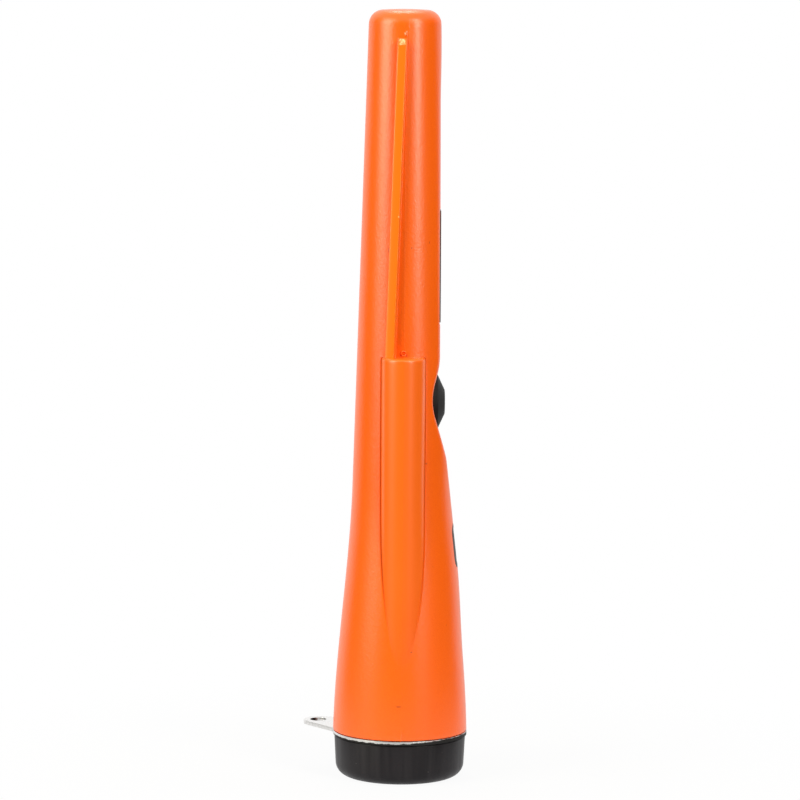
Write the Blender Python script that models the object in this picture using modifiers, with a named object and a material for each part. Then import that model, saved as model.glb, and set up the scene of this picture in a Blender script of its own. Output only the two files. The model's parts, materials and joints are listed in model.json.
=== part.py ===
"""Pinpointer probe: a hand-held metal-detecting wand that stands on its screw cap.

Lengths are in metres. +Z runs from the cap up to the tip, +X is the front with the button,
and -Y is the side with the scraping blade. The origin is the centre of the cap's underside.
"""

import math

import bmesh
import bpy
from mathutils import Matrix, Vector

for old in list(bpy.data.objects):
    bpy.data.objects.remove(old, do_unlink=True)

# Gaps
SEAT = 0.0002  # left under a piece that rests on another
FIT = 0.0003  # left around a piece that slides, turns or drops into another
OVERSHOOT = 0.0100  # how far a cutter runs out past the surface that it opens

# Battery, a standard 9 volt block, and the snap plate over it
BATTERY_LENGTH = 0.0464
BATTERY_WIDTH = 0.0262
BATTERY_DEPTH = 0.0172
BATTERY_CORNER = 0.0025
SNAP_SPACING = 0.0127
SNAP_HEIGHT = 0.0020
SNAP_SMALL_RADIUS = 0.00285
SNAP_LARGE_RADIUS = 0.0039
CONNECTOR_MARGIN = 0.0014  # plastic left around the snap sockets
CONNECTOR_ROOF = 0.0010
CONNECTOR_CORNER = 0.0015

# Cap, seal and lanyard ring
CAP_HEIGHT = 0.0123
CAP_FLOOR = 0.0022
CAP_EDGE = 0.0042  # rounding of the lower edge
CAP_TAPER = 0.0004  # how much the skirt draws in on its way down
CAP_STEP = 0.0002  # how far the cap stands back from the housing
SPIGOT_WALL = 0.0015
SPIGOT_LENGTH = 0.0130  # the threaded collar above the cap's skirt
THREAD_ROOM = 0.0004  # between the collar and the bore it screws into
SEAL_THICKNESS = 0.0014
RING_THICKNESS = 0.0012
EAR_REACH = 0.0284  # from the probe's axis to the centre of the lanyard hole
EAR_RADIUS = 0.0045
EAR_FLARE = math.radians(22)  # how fast the ear widens towards the ring, on each side
EAR_SWING = math.radians(31)  # how far the ear has swung from the back to the plain side
EAR_HOLE_RADIUS = 0.0024
PAD_THICKNESS = 0.0010
PAD_MARGIN = 0.0030  # from the pad's edge to the wall around it

# Housing
BODY_LENGTH = 0.2149
TIP_RADIUS = 0.0106
TIP_ROUNDING = 0.0040
BARREL_DRAFT = 0.0289  # growth of the radius per length, from the tip down
FLARE_TOP = 0.0737  # where the flare starts, above the rim
FLARE_LENGTH = 0.0720
RIM_WALL = 0.0017  # plastic around the seal's seat, which sets the width of the base
RIM_ROUNDING = 0.0008
WALL = 0.0020
SWELL = 0.00065  # how far the front stands out around the speaker
SWELL_HEIGHT = 0.0520  # middle of that swelling, above the rim
SWELL_REACH = 0.0280
FACET_RISE = 0.00035  # the flat front leans out this much between tip and scoop
FACET_FADE = 0.0280  # length over which the flat front fades into the round tip
FACET_LIFT = 0.0009  # how far the flat front has moved out of the way at the tip
FACET_BLEND = 0.0010  # softness of the edge between flat front and round barrel
SCOOP_HEIGHT = 0.1003  # deepest point of the finger scoop, above the rim
SCOOP_RADIUS = 0.0180  # of its round bottom
SCOOP_SLOPE = 0.28  # lean of the straight slopes that the bottom runs out into
SCOOP_DEPTH = 0.0022
SCOOP_BLEND = 0.0008
RAMP_SLOPE = 0.125  # lean of the front below the scoop
BULGE_RADIUS = 0.0065
BULGE_REACH = 0.0188  # outermost point of the side bulges, from the axis
BULGE_TOP = 0.1133  # above the rim
BULGE_FOOT = 0.0157  # above the rim, where the flare has swallowed the bulge
BULGE_EDGE = 0.0008
BLADE_WIDTH = 0.0025
BLADE_HEIGHT = 0.0022
BLADE_EDGE = 0.0005
BLADE_DROP = 0.0080  # from the tip down to the blade's upper end
BLADE_TOP_OFFSET = 0.0010  # how far behind the side's middle the blade starts
BLADE_FOOT_OFFSET = 0.0039  # and where it meets the bulge

# Front fittings
LABEL_HEIGHT = 0.1394  # middle of the label, above the rim
LABEL_LENGTH = 0.0332
LABEL_WIDTH = 0.0076
LABEL_THICKNESS = 0.0006
BUTTON_HEIGHT = 0.0988  # middle of the button, above the rim
BUTTON_RADIUS = 0.0083
BUTTON_TOP_RADIUS = 0.00355
BUTTON_PROUD = 0.0040  # height of the button over the scoop's floor
BUTTON_EDGE = 0.0016  # height of the cone's foot over the scoop's floor
BUTTON_ROUNDING = 0.0005
BUTTON_FLANGE = 0.0010  # how much wider the hidden flange is
BUTTON_FLANGE_THICKNESS = 0.0010
BUTTON_STEM_RADIUS = 0.0022
BUTTON_STEM_LENGTH = 0.0008
BUTTON_TRAVEL = 0.0007
GASKET_THICKNESS = 0.0009
LENS_RADIUS = 0.0017
LENS_GAP = 0.0027  # from the button's flange down to the middle of the lamp's window
LENS_LENGTH = 0.0026
LENS_EDGE = 0.0004
SPEAKER_RISE = 0.0141  # from the bulkhead up to the middle of the cover
SPEAKER_LENGTH = 0.0138
SPEAKER_WIDTH = 0.0100
SPEAKER_CORNER = 0.0034
SPEAKER_SEAT_DEPTH = 0.0024
SPEAKER_LEDGE = 0.0015  # width of the ledge that the cover rests on
SPEAKER_COLLAR = 0.0010  # how much wider the thickened wall around the seat is
MEMBRANE_THICKNESS = 0.0003
COVER_INSET = 0.00005  # how far the cover lies under the housing's surface
SLOT_WIDTH = 0.0011
SLOT_LENGTH = 0.0076
SLOT_PITCH = 0.0024

# Electronics
SWITCH_SIZE = 0.0062
SWITCH_HEIGHT = 0.0036
PLUNGER_RADIUS = 0.0016
PLUNGER_LENGTH = 0.0020
PLUNGER_PROUD = 0.0011
BOARD_THICKNESS = 0.0016
BOARD_MARGIN = 0.0050  # board left above the motor
SPINE_THICKNESS = 0.0020
BOARD_EDGE = 0.0018  # from the board's edge to the wall at the narrow end of the barrel
SPINE_INSET = 0.0020  # how much narrower than the board the spine is on each side
RAIL_THICKNESS = 0.0010
RAIL_LENGTH = 0.0420
RAIL_LIP = 0.0008  # how far the rails reach past the board's front
BULKHEAD_THICKNESS = 0.0024
TOP_PLATE_THICKNESS = 0.0024
ROOT = 0.0005  # how deep a joined shape is rooted in its neighbour
SCREW_RADIUS = 0.0011
SCREW_HEAD_RADIUS = 0.0019
SCREW_HEAD_HEIGHT = 0.0016
SCREW_HEAD_EDGE = 0.0005
SCREW_LENGTH = 0.0100
BOSS_RADIUS = 0.0026
BOSS_LENGTH = 0.0130
BUZZER_RADIUS = 0.0068
BUZZER_THICKNESS = 0.0030
BUZZER_PORT_RADIUS = 0.0012
BUZZER_PORT_DEPTH = 0.0008
LED_RADIUS = 0.0015
LED_LENGTH = 0.0040
LED_FLANGE = 0.0003
LED_FLANGE_THICKNESS = 0.0008
LED_DROP = 0.0012  # how far the lamp sits below its window
LED_LEG = 0.0005
LED_LEG_SPACING = 0.0018
MOTOR_RADIUS = 0.0030
MOTOR_LENGTH = 0.0110
MOTOR_GAP = 0.0015  # from the button's flange up to the motor
SHAFT_RADIUS = 0.0005
WEIGHT_INSET = 0.0004  # how much smaller than the motor its weight is
WEIGHT_LENGTH = 0.0034
WEIGHT_HUB = 0.0006  # metal left around the shaft
CHIP_LENGTH = 0.0080
CHIP_WIDTH = 0.0060
CHIP_THICKNESS = 0.0016
CHIP_GAP = 0.0020  # between lamp, chip and capacitor
CAPACITOR_RADIUS = 0.0025
CAPACITOR_LENGTH = 0.0060

# Coil in the tip
ROD_RADIUS = 0.0040
ROD_PROUD = 0.0090  # how far the core stands out of its former
FORMER_WALL = 0.0009
FORMER_FLANGE_THICKNESS = 0.0015
FORMER_INSET = 0.0007  # how much narrower than the cushion the flanges are
COIL_THICKNESS = 0.0016
CUSHION_ROOF = 0.0046  # foam over the end of the core
CUSHION_CHAMFER = 0.0022

AROUND = 48  # points on each ring of the housing
TURN_STEPS = 40  # steps of the large turned pieces
SMALL_STEPS = 24
FINE_STEPS = 16

# Levels along the axis, worked up from the cap's underside
z_ring = CAP_HEIGHT + SEAT
z_rim = z_ring + RING_THICKNESS + SEAT
z_tip = z_rim + BODY_LENGTH
z_scoop = z_rim + SCOOP_HEIGHT
z_button = z_rim + BUTTON_HEIGHT
z_bulge_top = z_rim + BULGE_TOP
z_spigot = CAP_HEIGHT + SPIGOT_LENGTH
z_thread_top = z_spigot + 2 * FIT
z_pad = CAP_FLOOR + SEAT
z_battery = z_pad + PAD_THICKNESS + SEAT
z_battery_top = z_battery + BATTERY_LENGTH
z_connector = z_battery_top + SEAT
z_connector_top = z_battery_top + SNAP_HEIGHT + SEAT + CONNECTOR_ROOF
z_bulkhead = z_connector_top + SEAT
z_bulkhead_top = z_bulkhead + BULKHEAD_THICKNESS
z_boss = z_bulkhead_top + SEAT
z_speaker = z_bulkhead_top + SPEAKER_RISE
flange_radius = BUTTON_RADIUS + BUTTON_FLANGE
z_motor = z_button + flange_radius + MOTOR_GAP
shaft_top = MOTOR_LENGTH + SEAT + WEIGHT_LENGTH + SEAT
z_board = z_bulkhead_top + SEAT
z_board_top = z_motor + shaft_top + BOARD_MARGIN
z_top_plate = z_board_top + SEAT
z_plate_top = z_top_plate + TOP_PLATE_THICKNESS
z_former = z_plate_top + SEAT
z_cavity_top = z_tip - WALL
z_rod_top = z_cavity_top - FIT - CUSHION_ROOF - SEAT
z_former_top = z_rod_top - ROD_PROUD

# Radii, worked outwards from the battery to the rim of the housing
battery_reach = BATTERY_CORNER + math.hypot(
    BATTERY_WIDTH / 2 - BATTERY_CORNER, BATTERY_DEPTH / 2 - BATTERY_CORNER
)
chamber_radius = battery_reach + FIT
spigot_radius = chamber_radius + SPIGOT_WALL
bore_radius = spigot_radius + THREAD_ROOM
seal_middle = spigot_radius + SEAT + SEAL_THICKNESS / 2
seal_seat_radius = seal_middle + SEAL_THICKNESS / 2 + SEAT
rim_radius = seal_seat_radius + RIM_WALL
z_seal = z_ring + RING_THICKNESS + SEAT + SEAL_THICKNESS / 2
z_seal_seat_top = z_seal + SEAL_THICKNESS / 2 + SEAT


def ease(t):
    """A smooth step from 0 to 1."""
    t = min(1.0, max(0.0, t))
    return t * t * (3 - 2 * t)


def soft_min(a, b, blend):
    """The smaller of two values, with the corner between them rounded off."""
    gap = a - b
    if gap <= -blend:
        return a
    if gap >= blend:
        return b
    return a - (gap + blend) ** 2 / (4 * blend)


flare_rise = rim_radius - TIP_RADIUS - BARREL_DRAFT * BODY_LENGTH


def outer_radius(z):
    """Radius of the round body: a drafted barrel that flares towards the base."""
    flare = flare_rise * ease((z_rim + FLARE_TOP - z) / FLARE_LENGTH)
    return TIP_RADIUS + BARREL_DRAFT * (z_tip - z) + flare


def swell(z):
    """Extra reach of the front around the speaker."""
    t = (z - z_rim - SWELL_HEIGHT) / SWELL_REACH
    return SWELL * math.cos(t * math.pi / 2) ** 2 if abs(t) < 1 else 0.0


def facet(z):
    """Plane of the flat front, fading out of the way at the round tip."""
    lean = FACET_RISE * (z_tip - z) / (z_tip - z_scoop)
    return TIP_RADIUS + lean + FACET_LIFT * (1 - ease((z_tip - z) / FACET_FADE))


scoop_floor = facet(z_scoop) - SCOOP_DEPTH


def scoop_rise(away):
    """Height over the scoop's floor: a round bottom that runs out into straight slopes."""
    lean = math.atan(SCOOP_SLOPE)
    run = SCOOP_RADIUS * math.sin(lean)
    if away < run:
        return SCOOP_RADIUS - math.sqrt(SCOOP_RADIUS**2 - away**2)
    return SCOOP_RADIUS * (1 - math.cos(lean)) + SCOOP_SLOPE * (away - run)


def front_limit(z):
    """How far out the front may reach: the facet, the finger scoop, the ramp below it."""
    base = facet(z) if z >= z_scoop else facet(z_scoop) + RAMP_SLOPE * (z_scoop - z)
    return soft_min(base, scoop_floor + scoop_rise(abs(z - z_scoop)), SCOOP_BLEND)


def front_x(z):
    """Distance from the axis to the front of the body."""
    return soft_min(outer_radius(z) + swell(z), front_limit(z), FACET_BLEND)


def body_ring(z, inset, shrink=0.0, least=0.0):
    """One section of the body, drawn in by inset; shrink rounds off the ends."""
    radius = max(outer_radius(z) - inset, least) - shrink
    front = radius + swell(z)
    limit = front_limit(z) - inset
    ring = []
    for i in range(AROUND):
        angle = 2 * math.pi * i / AROUND
        x = radius * math.cos(angle)
        if x > 0:
            x = soft_min(front * math.cos(angle), limit, FACET_BLEND)
        ring.append(Vector((x, radius * math.sin(angle), z)))
    return ring


def lifted(ring, z):
    return [Vector((point.x, point.y, z)) for point in ring]


def spaced(start, end, count):
    """Evenly spaced values from start towards end, without the end."""
    return [start + (end - start) * i / count for i in range(count)]


def arc(radius, start, end, count, centre=(0.0, 0.0)):
    """Points along an arc, both ends included."""
    points = []
    for i in range(count + 1):
        angle = start + (end - start) * i / count
        points.append((centre[0] + radius * math.cos(angle), centre[1] + radius * math.sin(angle)))
    return points


def new_collection(name):
    group = bpy.data.collections.new(name)
    bpy.context.scene.collection.children.link(group)
    return group


parts = new_collection("pinpointer_probe")
cutters = new_collection("cutters")


def paint(name, colour, roughness, metallic=0.0):
    material = bpy.data.materials.new(name)
    material.use_nodes = True
    shader = material.node_tree.nodes["Principled BSDF"]
    shader.inputs["Base Color"].default_value = (*colour, 1.0)
    shader.inputs["Roughness"].default_value = roughness
    shader.inputs["Metallic"].default_value = metallic
    material.diffuse_color = (*colour, 1.0)
    return material


def station(name, location, rotation=(0.0, 0.0, 0.0)):
    """An empty that carries the pieces and cutters of one joint or one seat."""
    empty = bpy.data.objects.new(name, None)
    empty.location = location
    empty.rotation_euler = rotation
    empty.empty_display_size = 0.005
    parts.objects.link(empty)
    return empty


def place(name, data, material, parent=None):
    """Put a shape into the scene: as a part if it has a material, else as a cutter."""
    obj = bpy.data.objects.new(name, data)
    obj.parent = parent
    if material is None:
        cutters.objects.link(obj)
        obj.hide_render = True
        obj.display_type = "WIRE"
    else:
        parts.objects.link(obj)
        data.materials.append(material)
    return obj


def as_mesh(name, shape):
    """Turn an edited shape into a mesh that is smooth except at real edges."""
    mesh = bpy.data.meshes.new(name)
    shape.to_mesh(mesh)
    shape.free()
    mesh.shade_smooth()
    mesh.set_sharp_from_angle(angle=math.radians(35))
    return mesh


def box(name, low, high, material, parent=None, corner=0.0):
    """A block between two corners; corner rounds its upright edges."""
    shape = bmesh.new()
    bmesh.ops.create_cube(shape, size=1.0)
    for vert in shape.verts:
        for k in range(3):
            vert.co[k] = low[k] if vert.co[k] < 0 else high[k]
    if corner > 0:
        upright = [e for e in shape.edges if abs(e.verts[0].co.z - e.verts[1].co.z) > 1e-6]
        bmesh.ops.bevel(
            shape, geom=upright, offset=corner, segments=4, profile=0.5, affect="EDGES"
        )
    return place(name, as_mesh(name, shape), material, parent)


def rod(name, radius, low, high, material, steps, parent=None, centre=(0.0, 0.0)):
    """A cylinder along the local Z axis."""
    shape = bmesh.new()
    bmesh.ops.create_cone(
        shape,
        cap_ends=True,
        segments=steps,
        radius1=radius,
        radius2=radius,
        depth=high - low,
        matrix=Matrix.Translation((centre[0], centre[1], (low + high) / 2)),
    )
    return place(name, as_mesh(name, shape), material, parent)


def turned(name, profile, material, steps, parent=None, closed=False):
    """Spin a half profile, given as (radius, height), around the local Z axis."""
    mesh = bpy.data.meshes.new(name)
    points = [(radius, 0.0, height) for radius, height in profile]
    edges = [(i, i + 1) for i in range(len(points) - 1)]
    if closed:
        edges.append((len(points) - 1, 0))
    mesh.from_pydata(points, edges, [])
    obj = place(name, mesh, material, parent)
    spin = obj.modifiers.new("spin", "SCREW")
    spin.axis = "Z"
    spin.steps = steps
    spin.render_steps = steps
    spin.use_merge_vertices = True
    spin.merge_threshold = 0.00001
    return obj


def plate(name, outlines, low, high, material, parent=None):
    """A flat piece from closed outlines: the first is its edge, the others are holes."""
    curve = bpy.data.curves.new(name, "CURVE")
    curve.dimensions = "2D"
    curve.fill_mode = "BOTH"
    curve.extrude = (high - low) / 2
    for outline in outlines:
        spline = curve.splines.new("POLY")
        spline.points.add(len(outline) - 1)
        spline.use_cyclic_u = True
        for point, (x, y) in zip(spline.points, outline):
            point.co = (x, y, 0.0, 1.0)
    obj = place(name, curve, material, parent)
    obj.location = (0.0, 0.0, (low + high) / 2)
    return obj


def loft(name, rings, material):
    """Skin a stack of unlike sections, lowest first, and close both ends."""
    shape = bmesh.new()
    layers = [[shape.verts.new(point) for point in ring] for ring in rings]
    shape.faces.new(reversed(layers[0]))
    for lower, upper in zip(layers, layers[1:]):
        for i in range(len(lower)):
            j = (i + 1) % len(lower)
            shape.faces.new((lower[i], lower[j], upper[j], upper[i]))
    shape.faces.new(layers[-1])
    return place(name, as_mesh(name, shape), material)


def combine(obj, operation, others):
    for other in others:
        change = obj.modifiers.new(other.name, "BOOLEAN")
        change.operation = operation
        change.solver = "EXACT"
        change.object = other


def cut(obj, *others):
    combine(obj, "DIFFERENCE", others)


def join(obj, *others):
    combine(obj, "UNION", others)


def trim(obj, *others):
    combine(obj, "INTERSECT", others)


orange = paint("orange_plastic", (0.93, 0.13, 0.014), 0.42)
black = paint("black_plastic", (0.022, 0.022, 0.024), 0.38)
plate_black = paint("label_black", (0.018, 0.014, 0.012), 0.30)
button_grey = paint("button_rubber", (0.032, 0.030, 0.032), 0.60)
gasket_grey = paint("gasket_rubber", (0.05, 0.05, 0.05), 0.75)
lens_clear = paint("lens_clear", (0.80, 0.84, 0.86), 0.08)
led_white = paint("led_resin", (0.85, 0.87, 0.80), 0.15)
cover_grey = paint("cover_plastic", (0.040, 0.040, 0.044), 0.45)
membrane_black = paint("membrane_film", (0.02, 0.02, 0.022), 0.80)
buzzer_black = paint("buzzer_case", (0.015, 0.015, 0.016), 0.55)
carrier_white = paint("carrier_plastic", (0.62, 0.60, 0.54), 0.50)
screw_steel = paint("screw_steel", (0.48, 0.47, 0.45), 0.32, 1.0)
board_green = paint("board_laminate", (0.02, 0.16, 0.05), 0.40)
chip_black = paint("chip_resin", (0.02, 0.02, 0.02), 0.50)
can_silver = paint("capacitor_can", (0.60, 0.60, 0.62), 0.30, 1.0)
switch_black = paint("switch_case", (0.03, 0.03, 0.03), 0.50)
plunger_white = paint("plunger_plastic", (0.70, 0.68, 0.62), 0.45)
motor_steel = paint("motor_steel", (0.55, 0.55, 0.54), 0.30, 1.0)
weight_metal = paint("weight_tungsten", (0.32, 0.31, 0.30), 0.40, 1.0)
former_nylon = paint("former_nylon", (0.72, 0.69, 0.58), 0.50)
ferrite_grey = paint("ferrite", (0.045, 0.043, 0.045), 0.55)
coil_copper = paint("coil_copper", (0.70, 0.26, 0.10), 0.30, 1.0)
cushion_foam = paint("cushion_foam", (0.10, 0.10, 0.11), 0.90)
battery_jacket = paint("battery_jacket", (0.05, 0.07, 0.10), 0.35)
connector_black = paint("connector_plastic", (0.03, 0.03, 0.03), 0.50)
pad_foam = paint("pad_foam", (0.12, 0.12, 0.12), 0.90)
seal_rubber = paint("seal_rubber", (0.20, 0.02, 0.02), 0.55)
ring_steel = paint("ring_steel", (0.66, 0.65, 0.63), 0.28, 1.0)

# Stations of the moving pieces and of the seats that lean with the front
quarter = math.pi / 2
cap_axis = station("cap_axis", (0, 0, 0))
button_axis = station("button_axis", (0, 0, z_button), (0, quarter, 0))
z_lens = z_button - flange_radius - LENS_GAP
lens_fall = front_x(z_lens - LENS_RADIUS) - front_x(z_lens + LENS_RADIUS)
lens_lean = math.atan2(lens_fall, 2 * LENS_RADIUS)
lens_axis = station("lens_axis", (front_x(z_lens), 0, z_lens), (0, quarter - lens_lean, 0))
z_led = z_lens - LED_DROP
led_axis = station("led_axis", (0, 0, z_led), (0, quarter, 0))
half_speaker = SPEAKER_LENGTH / 2
speaker_fall = front_x(z_speaker - half_speaker) - front_x(z_speaker + half_speaker)
speaker_lean = math.atan2(speaker_fall, SPEAKER_LENGTH)
speaker_turn = (0, quarter - speaker_lean, 0)
speaker_axis = station("speaker_axis", (front_x(z_speaker), 0, z_speaker), speaker_turn)
z_label = z_rim + LABEL_HEIGHT
label_fall = facet(z_label - LABEL_LENGTH / 2) - facet(z_label + LABEL_LENGTH / 2)
label_turn = (0, quarter - math.atan2(label_fall, LABEL_LENGTH), 0)
label_axis = station("label_axis", (facet(z_label), 0, z_label), label_turn)

# Housing: the body is skinned over its sections, then the bulges and the blade are joined on
rim_start = z_rim + RIM_ROUNDING
scoop_run = SCOOP_DEPTH / SCOOP_SLOPE
scoop_low = z_scoop - 2.6 * scoop_run
scoop_high = z_scoop + 2 * scoop_run
tip_start = z_tip - TIP_ROUNDING
body_levels = spaced(rim_start, scoop_low, 12) + spaced(scoop_low, scoop_high, 14)
body_levels += spaced(scoop_high, tip_start, 8)
body_rings = []
for radius, drop in arc(RIM_ROUNDING, 0, quarter, 2)[::-1][:-1]:
    body_rings.append(lifted(body_ring(rim_start, 0.0, RIM_ROUNDING - radius), rim_start - drop))
body_rings += [body_ring(z, 0.0) for z in body_levels]
for radius, rise in arc(TIP_ROUNDING, 0, quarter, 4):
    body_rings.append(lifted(body_ring(tip_start, 0.0, TIP_ROUNDING - radius), tip_start + rise))
housing = loft("housing", body_rings, orange)

for side, sign in (("blade_side", -1), ("plain_side", 1)):
    middle = (0.0, sign * (BULGE_REACH - BULGE_RADIUS))
    foot = z_rim + BULGE_FOOT
    bulge = rod("bulge_" + side, BULGE_RADIUS, foot, z_bulge_top, None, 32, None, middle)
    rounding = bulge.modifiers.new("edge", "BEVEL")
    rounding.width = BULGE_EDGE
    rounding.segments = 2
    rounding.limit_method = "ANGLE"
    join(housing, bulge)

z_blade_top = z_tip - BLADE_DROP


def blade_ring(z, height):
    """One section of the blade, rooted in the wall of the barrel."""
    t = (z_blade_top - z) / (z_blade_top - z_bulge_top)
    middle = -BLADE_TOP_OFFSET - (BLADE_FOOT_OFFSET - BLADE_TOP_OFFSET) * t
    surface = -math.sqrt(outer_radius(z) ** 2 - middle**2)
    root = surface + WALL / 2
    crest = surface - height
    half = BLADE_WIDTH / 2
    edge = min(BLADE_EDGE, height / 2)
    left = [(-half, root), (-half, crest + edge), (edge - half, crest)]
    right = [(-x, y) for x, y in reversed(left)]
    return [Vector((middle + x, y, z)) for x, y in left + right]


z_blade_full = z_blade_top - BLADE_HEIGHT
blade_levels = [z_bulge_top - 2 * BULGE_EDGE] + spaced(z_bulge_top, z_blade_full, 4) + [z_blade_full]
blade_rings = [blade_ring(z, BLADE_HEIGHT) for z in blade_levels]
blade_rings.append(blade_ring(z_blade_top, BLADE_EDGE))
join(housing, loft("blade", blade_rings, None))

# The hollow follows the outside at one wall's thickness and leaves room for the battery
inner_rounding = TIP_ROUNDING - WALL
cavity_levels = spaced(z_thread_top - FIT, scoop_low, 7) + spaced(scoop_low, scoop_high, 11)
cavity_levels += spaced(scoop_high, tip_start, 4)
cavity_rings = []
for z in cavity_levels:
    least = chamber_radius if z < z_bulkhead else 0.0
    cavity_rings.append(body_ring(z, WALL, 0.0, least))
for radius, rise in arc(inner_rounding, 0, quarter, 3):
    cavity_rings.append(lifted(body_ring(tip_start, WALL, inner_rounding - radius), tip_start + rise))
mouth = z_rim - OVERSHOOT
cut(
    housing,
    loft("cavity", cavity_rings, None),
    rod("thread_bore", bore_radius, mouth, z_thread_top, None, TURN_STEPS),
    rod("seal_seat", seal_seat_radius, mouth, z_seal_seat_top, None, TURN_STEPS),
)

# Screw bosses for the carrier, behind the snap plate and beside the board
socket_reach = SNAP_LARGE_RADIUS + FIT + CONNECTOR_MARGIN
bulkhead_radius = outer_radius(z_bulkhead_top) - WALL - FIT
screw_circle = bulkhead_radius - SCREW_HEAD_RADIUS - FIT
screw_x = -(socket_reach + FIT + SCREW_HEAD_RADIUS)
screw_y = math.sqrt(screw_circle**2 - screw_x**2)
screw_tip = z_bulkhead + SCREW_LENGTH
screw_spots = (("left", (screw_x, -screw_y)), ("right", (screw_x, screw_y)))
for side, spot in screw_spots:
    boss_top = max(z_boss + BOSS_LENGTH, screw_tip + WALL)
    join(housing, rod("boss_" + side, BOSS_RADIUS, z_boss, boss_top, None, SMALL_STEPS, None, spot))
    hole = SCREW_RADIUS + FIT
    cut(housing, rod("pilot_" + side, hole, z_bulkhead, screw_tip + FIT, None, FINE_STEPS, None, spot))

# Label in its shallow seat on the flat front
label_half = Vector((LABEL_LENGTH / 2, LABEL_WIDTH / 2))
seat_half = label_half + Vector((FIT, FIT))
seat_low = (-seat_half.x, -seat_half.y, -LABEL_THICKNESS)
cut(housing, box("label_seat", seat_low, (seat_half.x, seat_half.y, OVERSHOOT), None, label_axis))
label_low = (-label_half.x, -label_half.y, SEAT - LABEL_THICKNESS)
box("label_plate", label_low, (label_half.x, label_half.y, SEAT), plate_black, label_axis)

# Button and gasket, stacked inwards from the floor of the scoop
x_wall = scoop_floor - WALL
x_gasket = x_wall - SEAT - GASKET_THICKNESS
x_flange_front = x_gasket - SEAT
x_flange = x_flange_front - BUTTON_FLANGE_THICKNESS
x_stem = x_flange - BUTTON_STEM_LENGTH
button_top = scoop_floor + BUTTON_PROUD
button_foot = scoop_floor + BUTTON_EDGE
flank = math.atan2(BUTTON_RADIUS - BUTTON_TOP_RADIUS, button_top - button_foot)
rounded = min(BUTTON_ROUNDING, BUTTON_TOP_RADIUS / 2)
button_profile = [
    (0.0, button_top),
    (BUTTON_TOP_RADIUS - rounded, button_top),
    (BUTTON_TOP_RADIUS + rounded * math.sin(flank), button_top - rounded * math.cos(flank)),
    (BUTTON_RADIUS, button_foot),
    (BUTTON_RADIUS, x_flange_front),
    (flange_radius, x_flange_front),
    (flange_radius, x_flange),
    (BUTTON_STEM_RADIUS, x_flange),
    (BUTTON_STEM_RADIUS, x_stem),
    (0.0, x_stem),
]
turned("power_button", button_profile, button_grey, 32, button_axis)
gasket_front = x_gasket + GASKET_THICKNESS
button_hole = BUTTON_RADIUS + FIT
gasket_profile = [
    (flange_radius, gasket_front),
    (flange_radius, x_gasket),
    (button_hole, x_gasket),
    (button_hole, gasket_front),
]
turned("button_gasket", gasket_profile, gasket_grey, 32, button_axis, True)
pressed = x_flange - BUTTON_TRAVEL - FIT
cut(
    housing,
    rod("button_hole", button_hole, x_flange, button_top + OVERSHOOT, None, 32, button_axis),
    rod("flange_room", flange_radius + FIT, pressed, x_wall - SEAT / 2, None, 32, button_axis),
)

# Switch under the button, on the board
x_plunger_top = x_stem - SEAT
x_switch_top = x_plunger_top - PLUNGER_PROUD
x_switch = x_switch_top - SWITCH_HEIGHT
x_board_front = x_switch - SEAT
x_board = x_board_front - BOARD_THICKNESS
x_spine_front = x_board - SEAT
x_spine = x_spine_front - SPINE_THICKNESS
x_mounted = x_board_front + SEAT
half_switch = SWITCH_SIZE / 2
switch_body = box(
    "switch_body",
    (-half_switch, -half_switch, x_switch),
    (half_switch, half_switch, x_switch_top),
    switch_black,
    button_axis,
)
plunger_low = x_plunger_top - PLUNGER_LENGTH
well_floor = plunger_low - BUTTON_TRAVEL - FIT
well = rod("plunger_well", PLUNGER_RADIUS + FIT, well_floor, button_top, None, 20, button_axis)
cut(switch_body, well)
rod("switch_plunger", PLUNGER_RADIUS, plunger_low, x_plunger_top, plunger_white, 20, button_axis)

# Lamp and its window on the slope under the button
lens_edge = min(LENS_EDGE, LENS_RADIUS / 2)
lens_profile = [
    (0.0, 0.0),
    (LENS_RADIUS - lens_edge, -lens_edge / 4),
    (LENS_RADIUS, -lens_edge),
    (LENS_RADIUS, -LENS_LENGTH),
    (0.0, -LENS_LENGTH),
]
turned("led_lens", lens_profile, lens_clear, SMALL_STEPS, lens_axis)
lens_hole = rod("lens_hole", LENS_RADIUS + FIT, -2 * LENS_LENGTH, OVERSHOOT, None, SMALL_STEPS, lens_axis)
cut(housing, lens_hole)
lens_foot = front_x(z_lens) - LENS_LENGTH * math.cos(lens_lean)
x_led_top = lens_foot - LENS_RADIUS * math.sin(lens_lean) - FIT
x_led = x_led_top - LED_LENGTH
led_profile = [(radius, x_led_top - LED_RADIUS + rise) for radius, rise in arc(LED_RADIUS, quarter, 0, 4)]
led_profile[0] = (0.0, x_led_top)
led_profile += [
    (LED_RADIUS, x_led + LED_FLANGE_THICKNESS),
    (LED_RADIUS + LED_FLANGE, x_led + LED_FLANGE_THICKNESS),
    (LED_RADIUS + LED_FLANGE, x_led),
    (0.0, x_led),
]
led = turned("led", led_profile, led_white, 20, led_axis)
half_leg = LED_LEG / 2
for side, sign in (("left", -1), ("right", 1)):
    y = sign * LED_LEG_SPACING / 2
    leg_low = (-half_leg, y - half_leg, x_mounted)
    join(led, box("led_leg_" + side, leg_low, (half_leg, y + half_leg, x_led + ROOT), None, led_axis))

# Speaker: a seat with round corners in a thickened wall, a membrane, a slotted cover and the sounder
near_side = outer_radius(z_speaker + BUZZER_RADIUS) - WALL
x_collar = math.sqrt(near_side**2 - BUZZER_RADIUS**2) - FIT
collar_depth = max(front_x(z_speaker) - x_collar, SPEAKER_SEAT_DEPTH + WALL)


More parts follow.
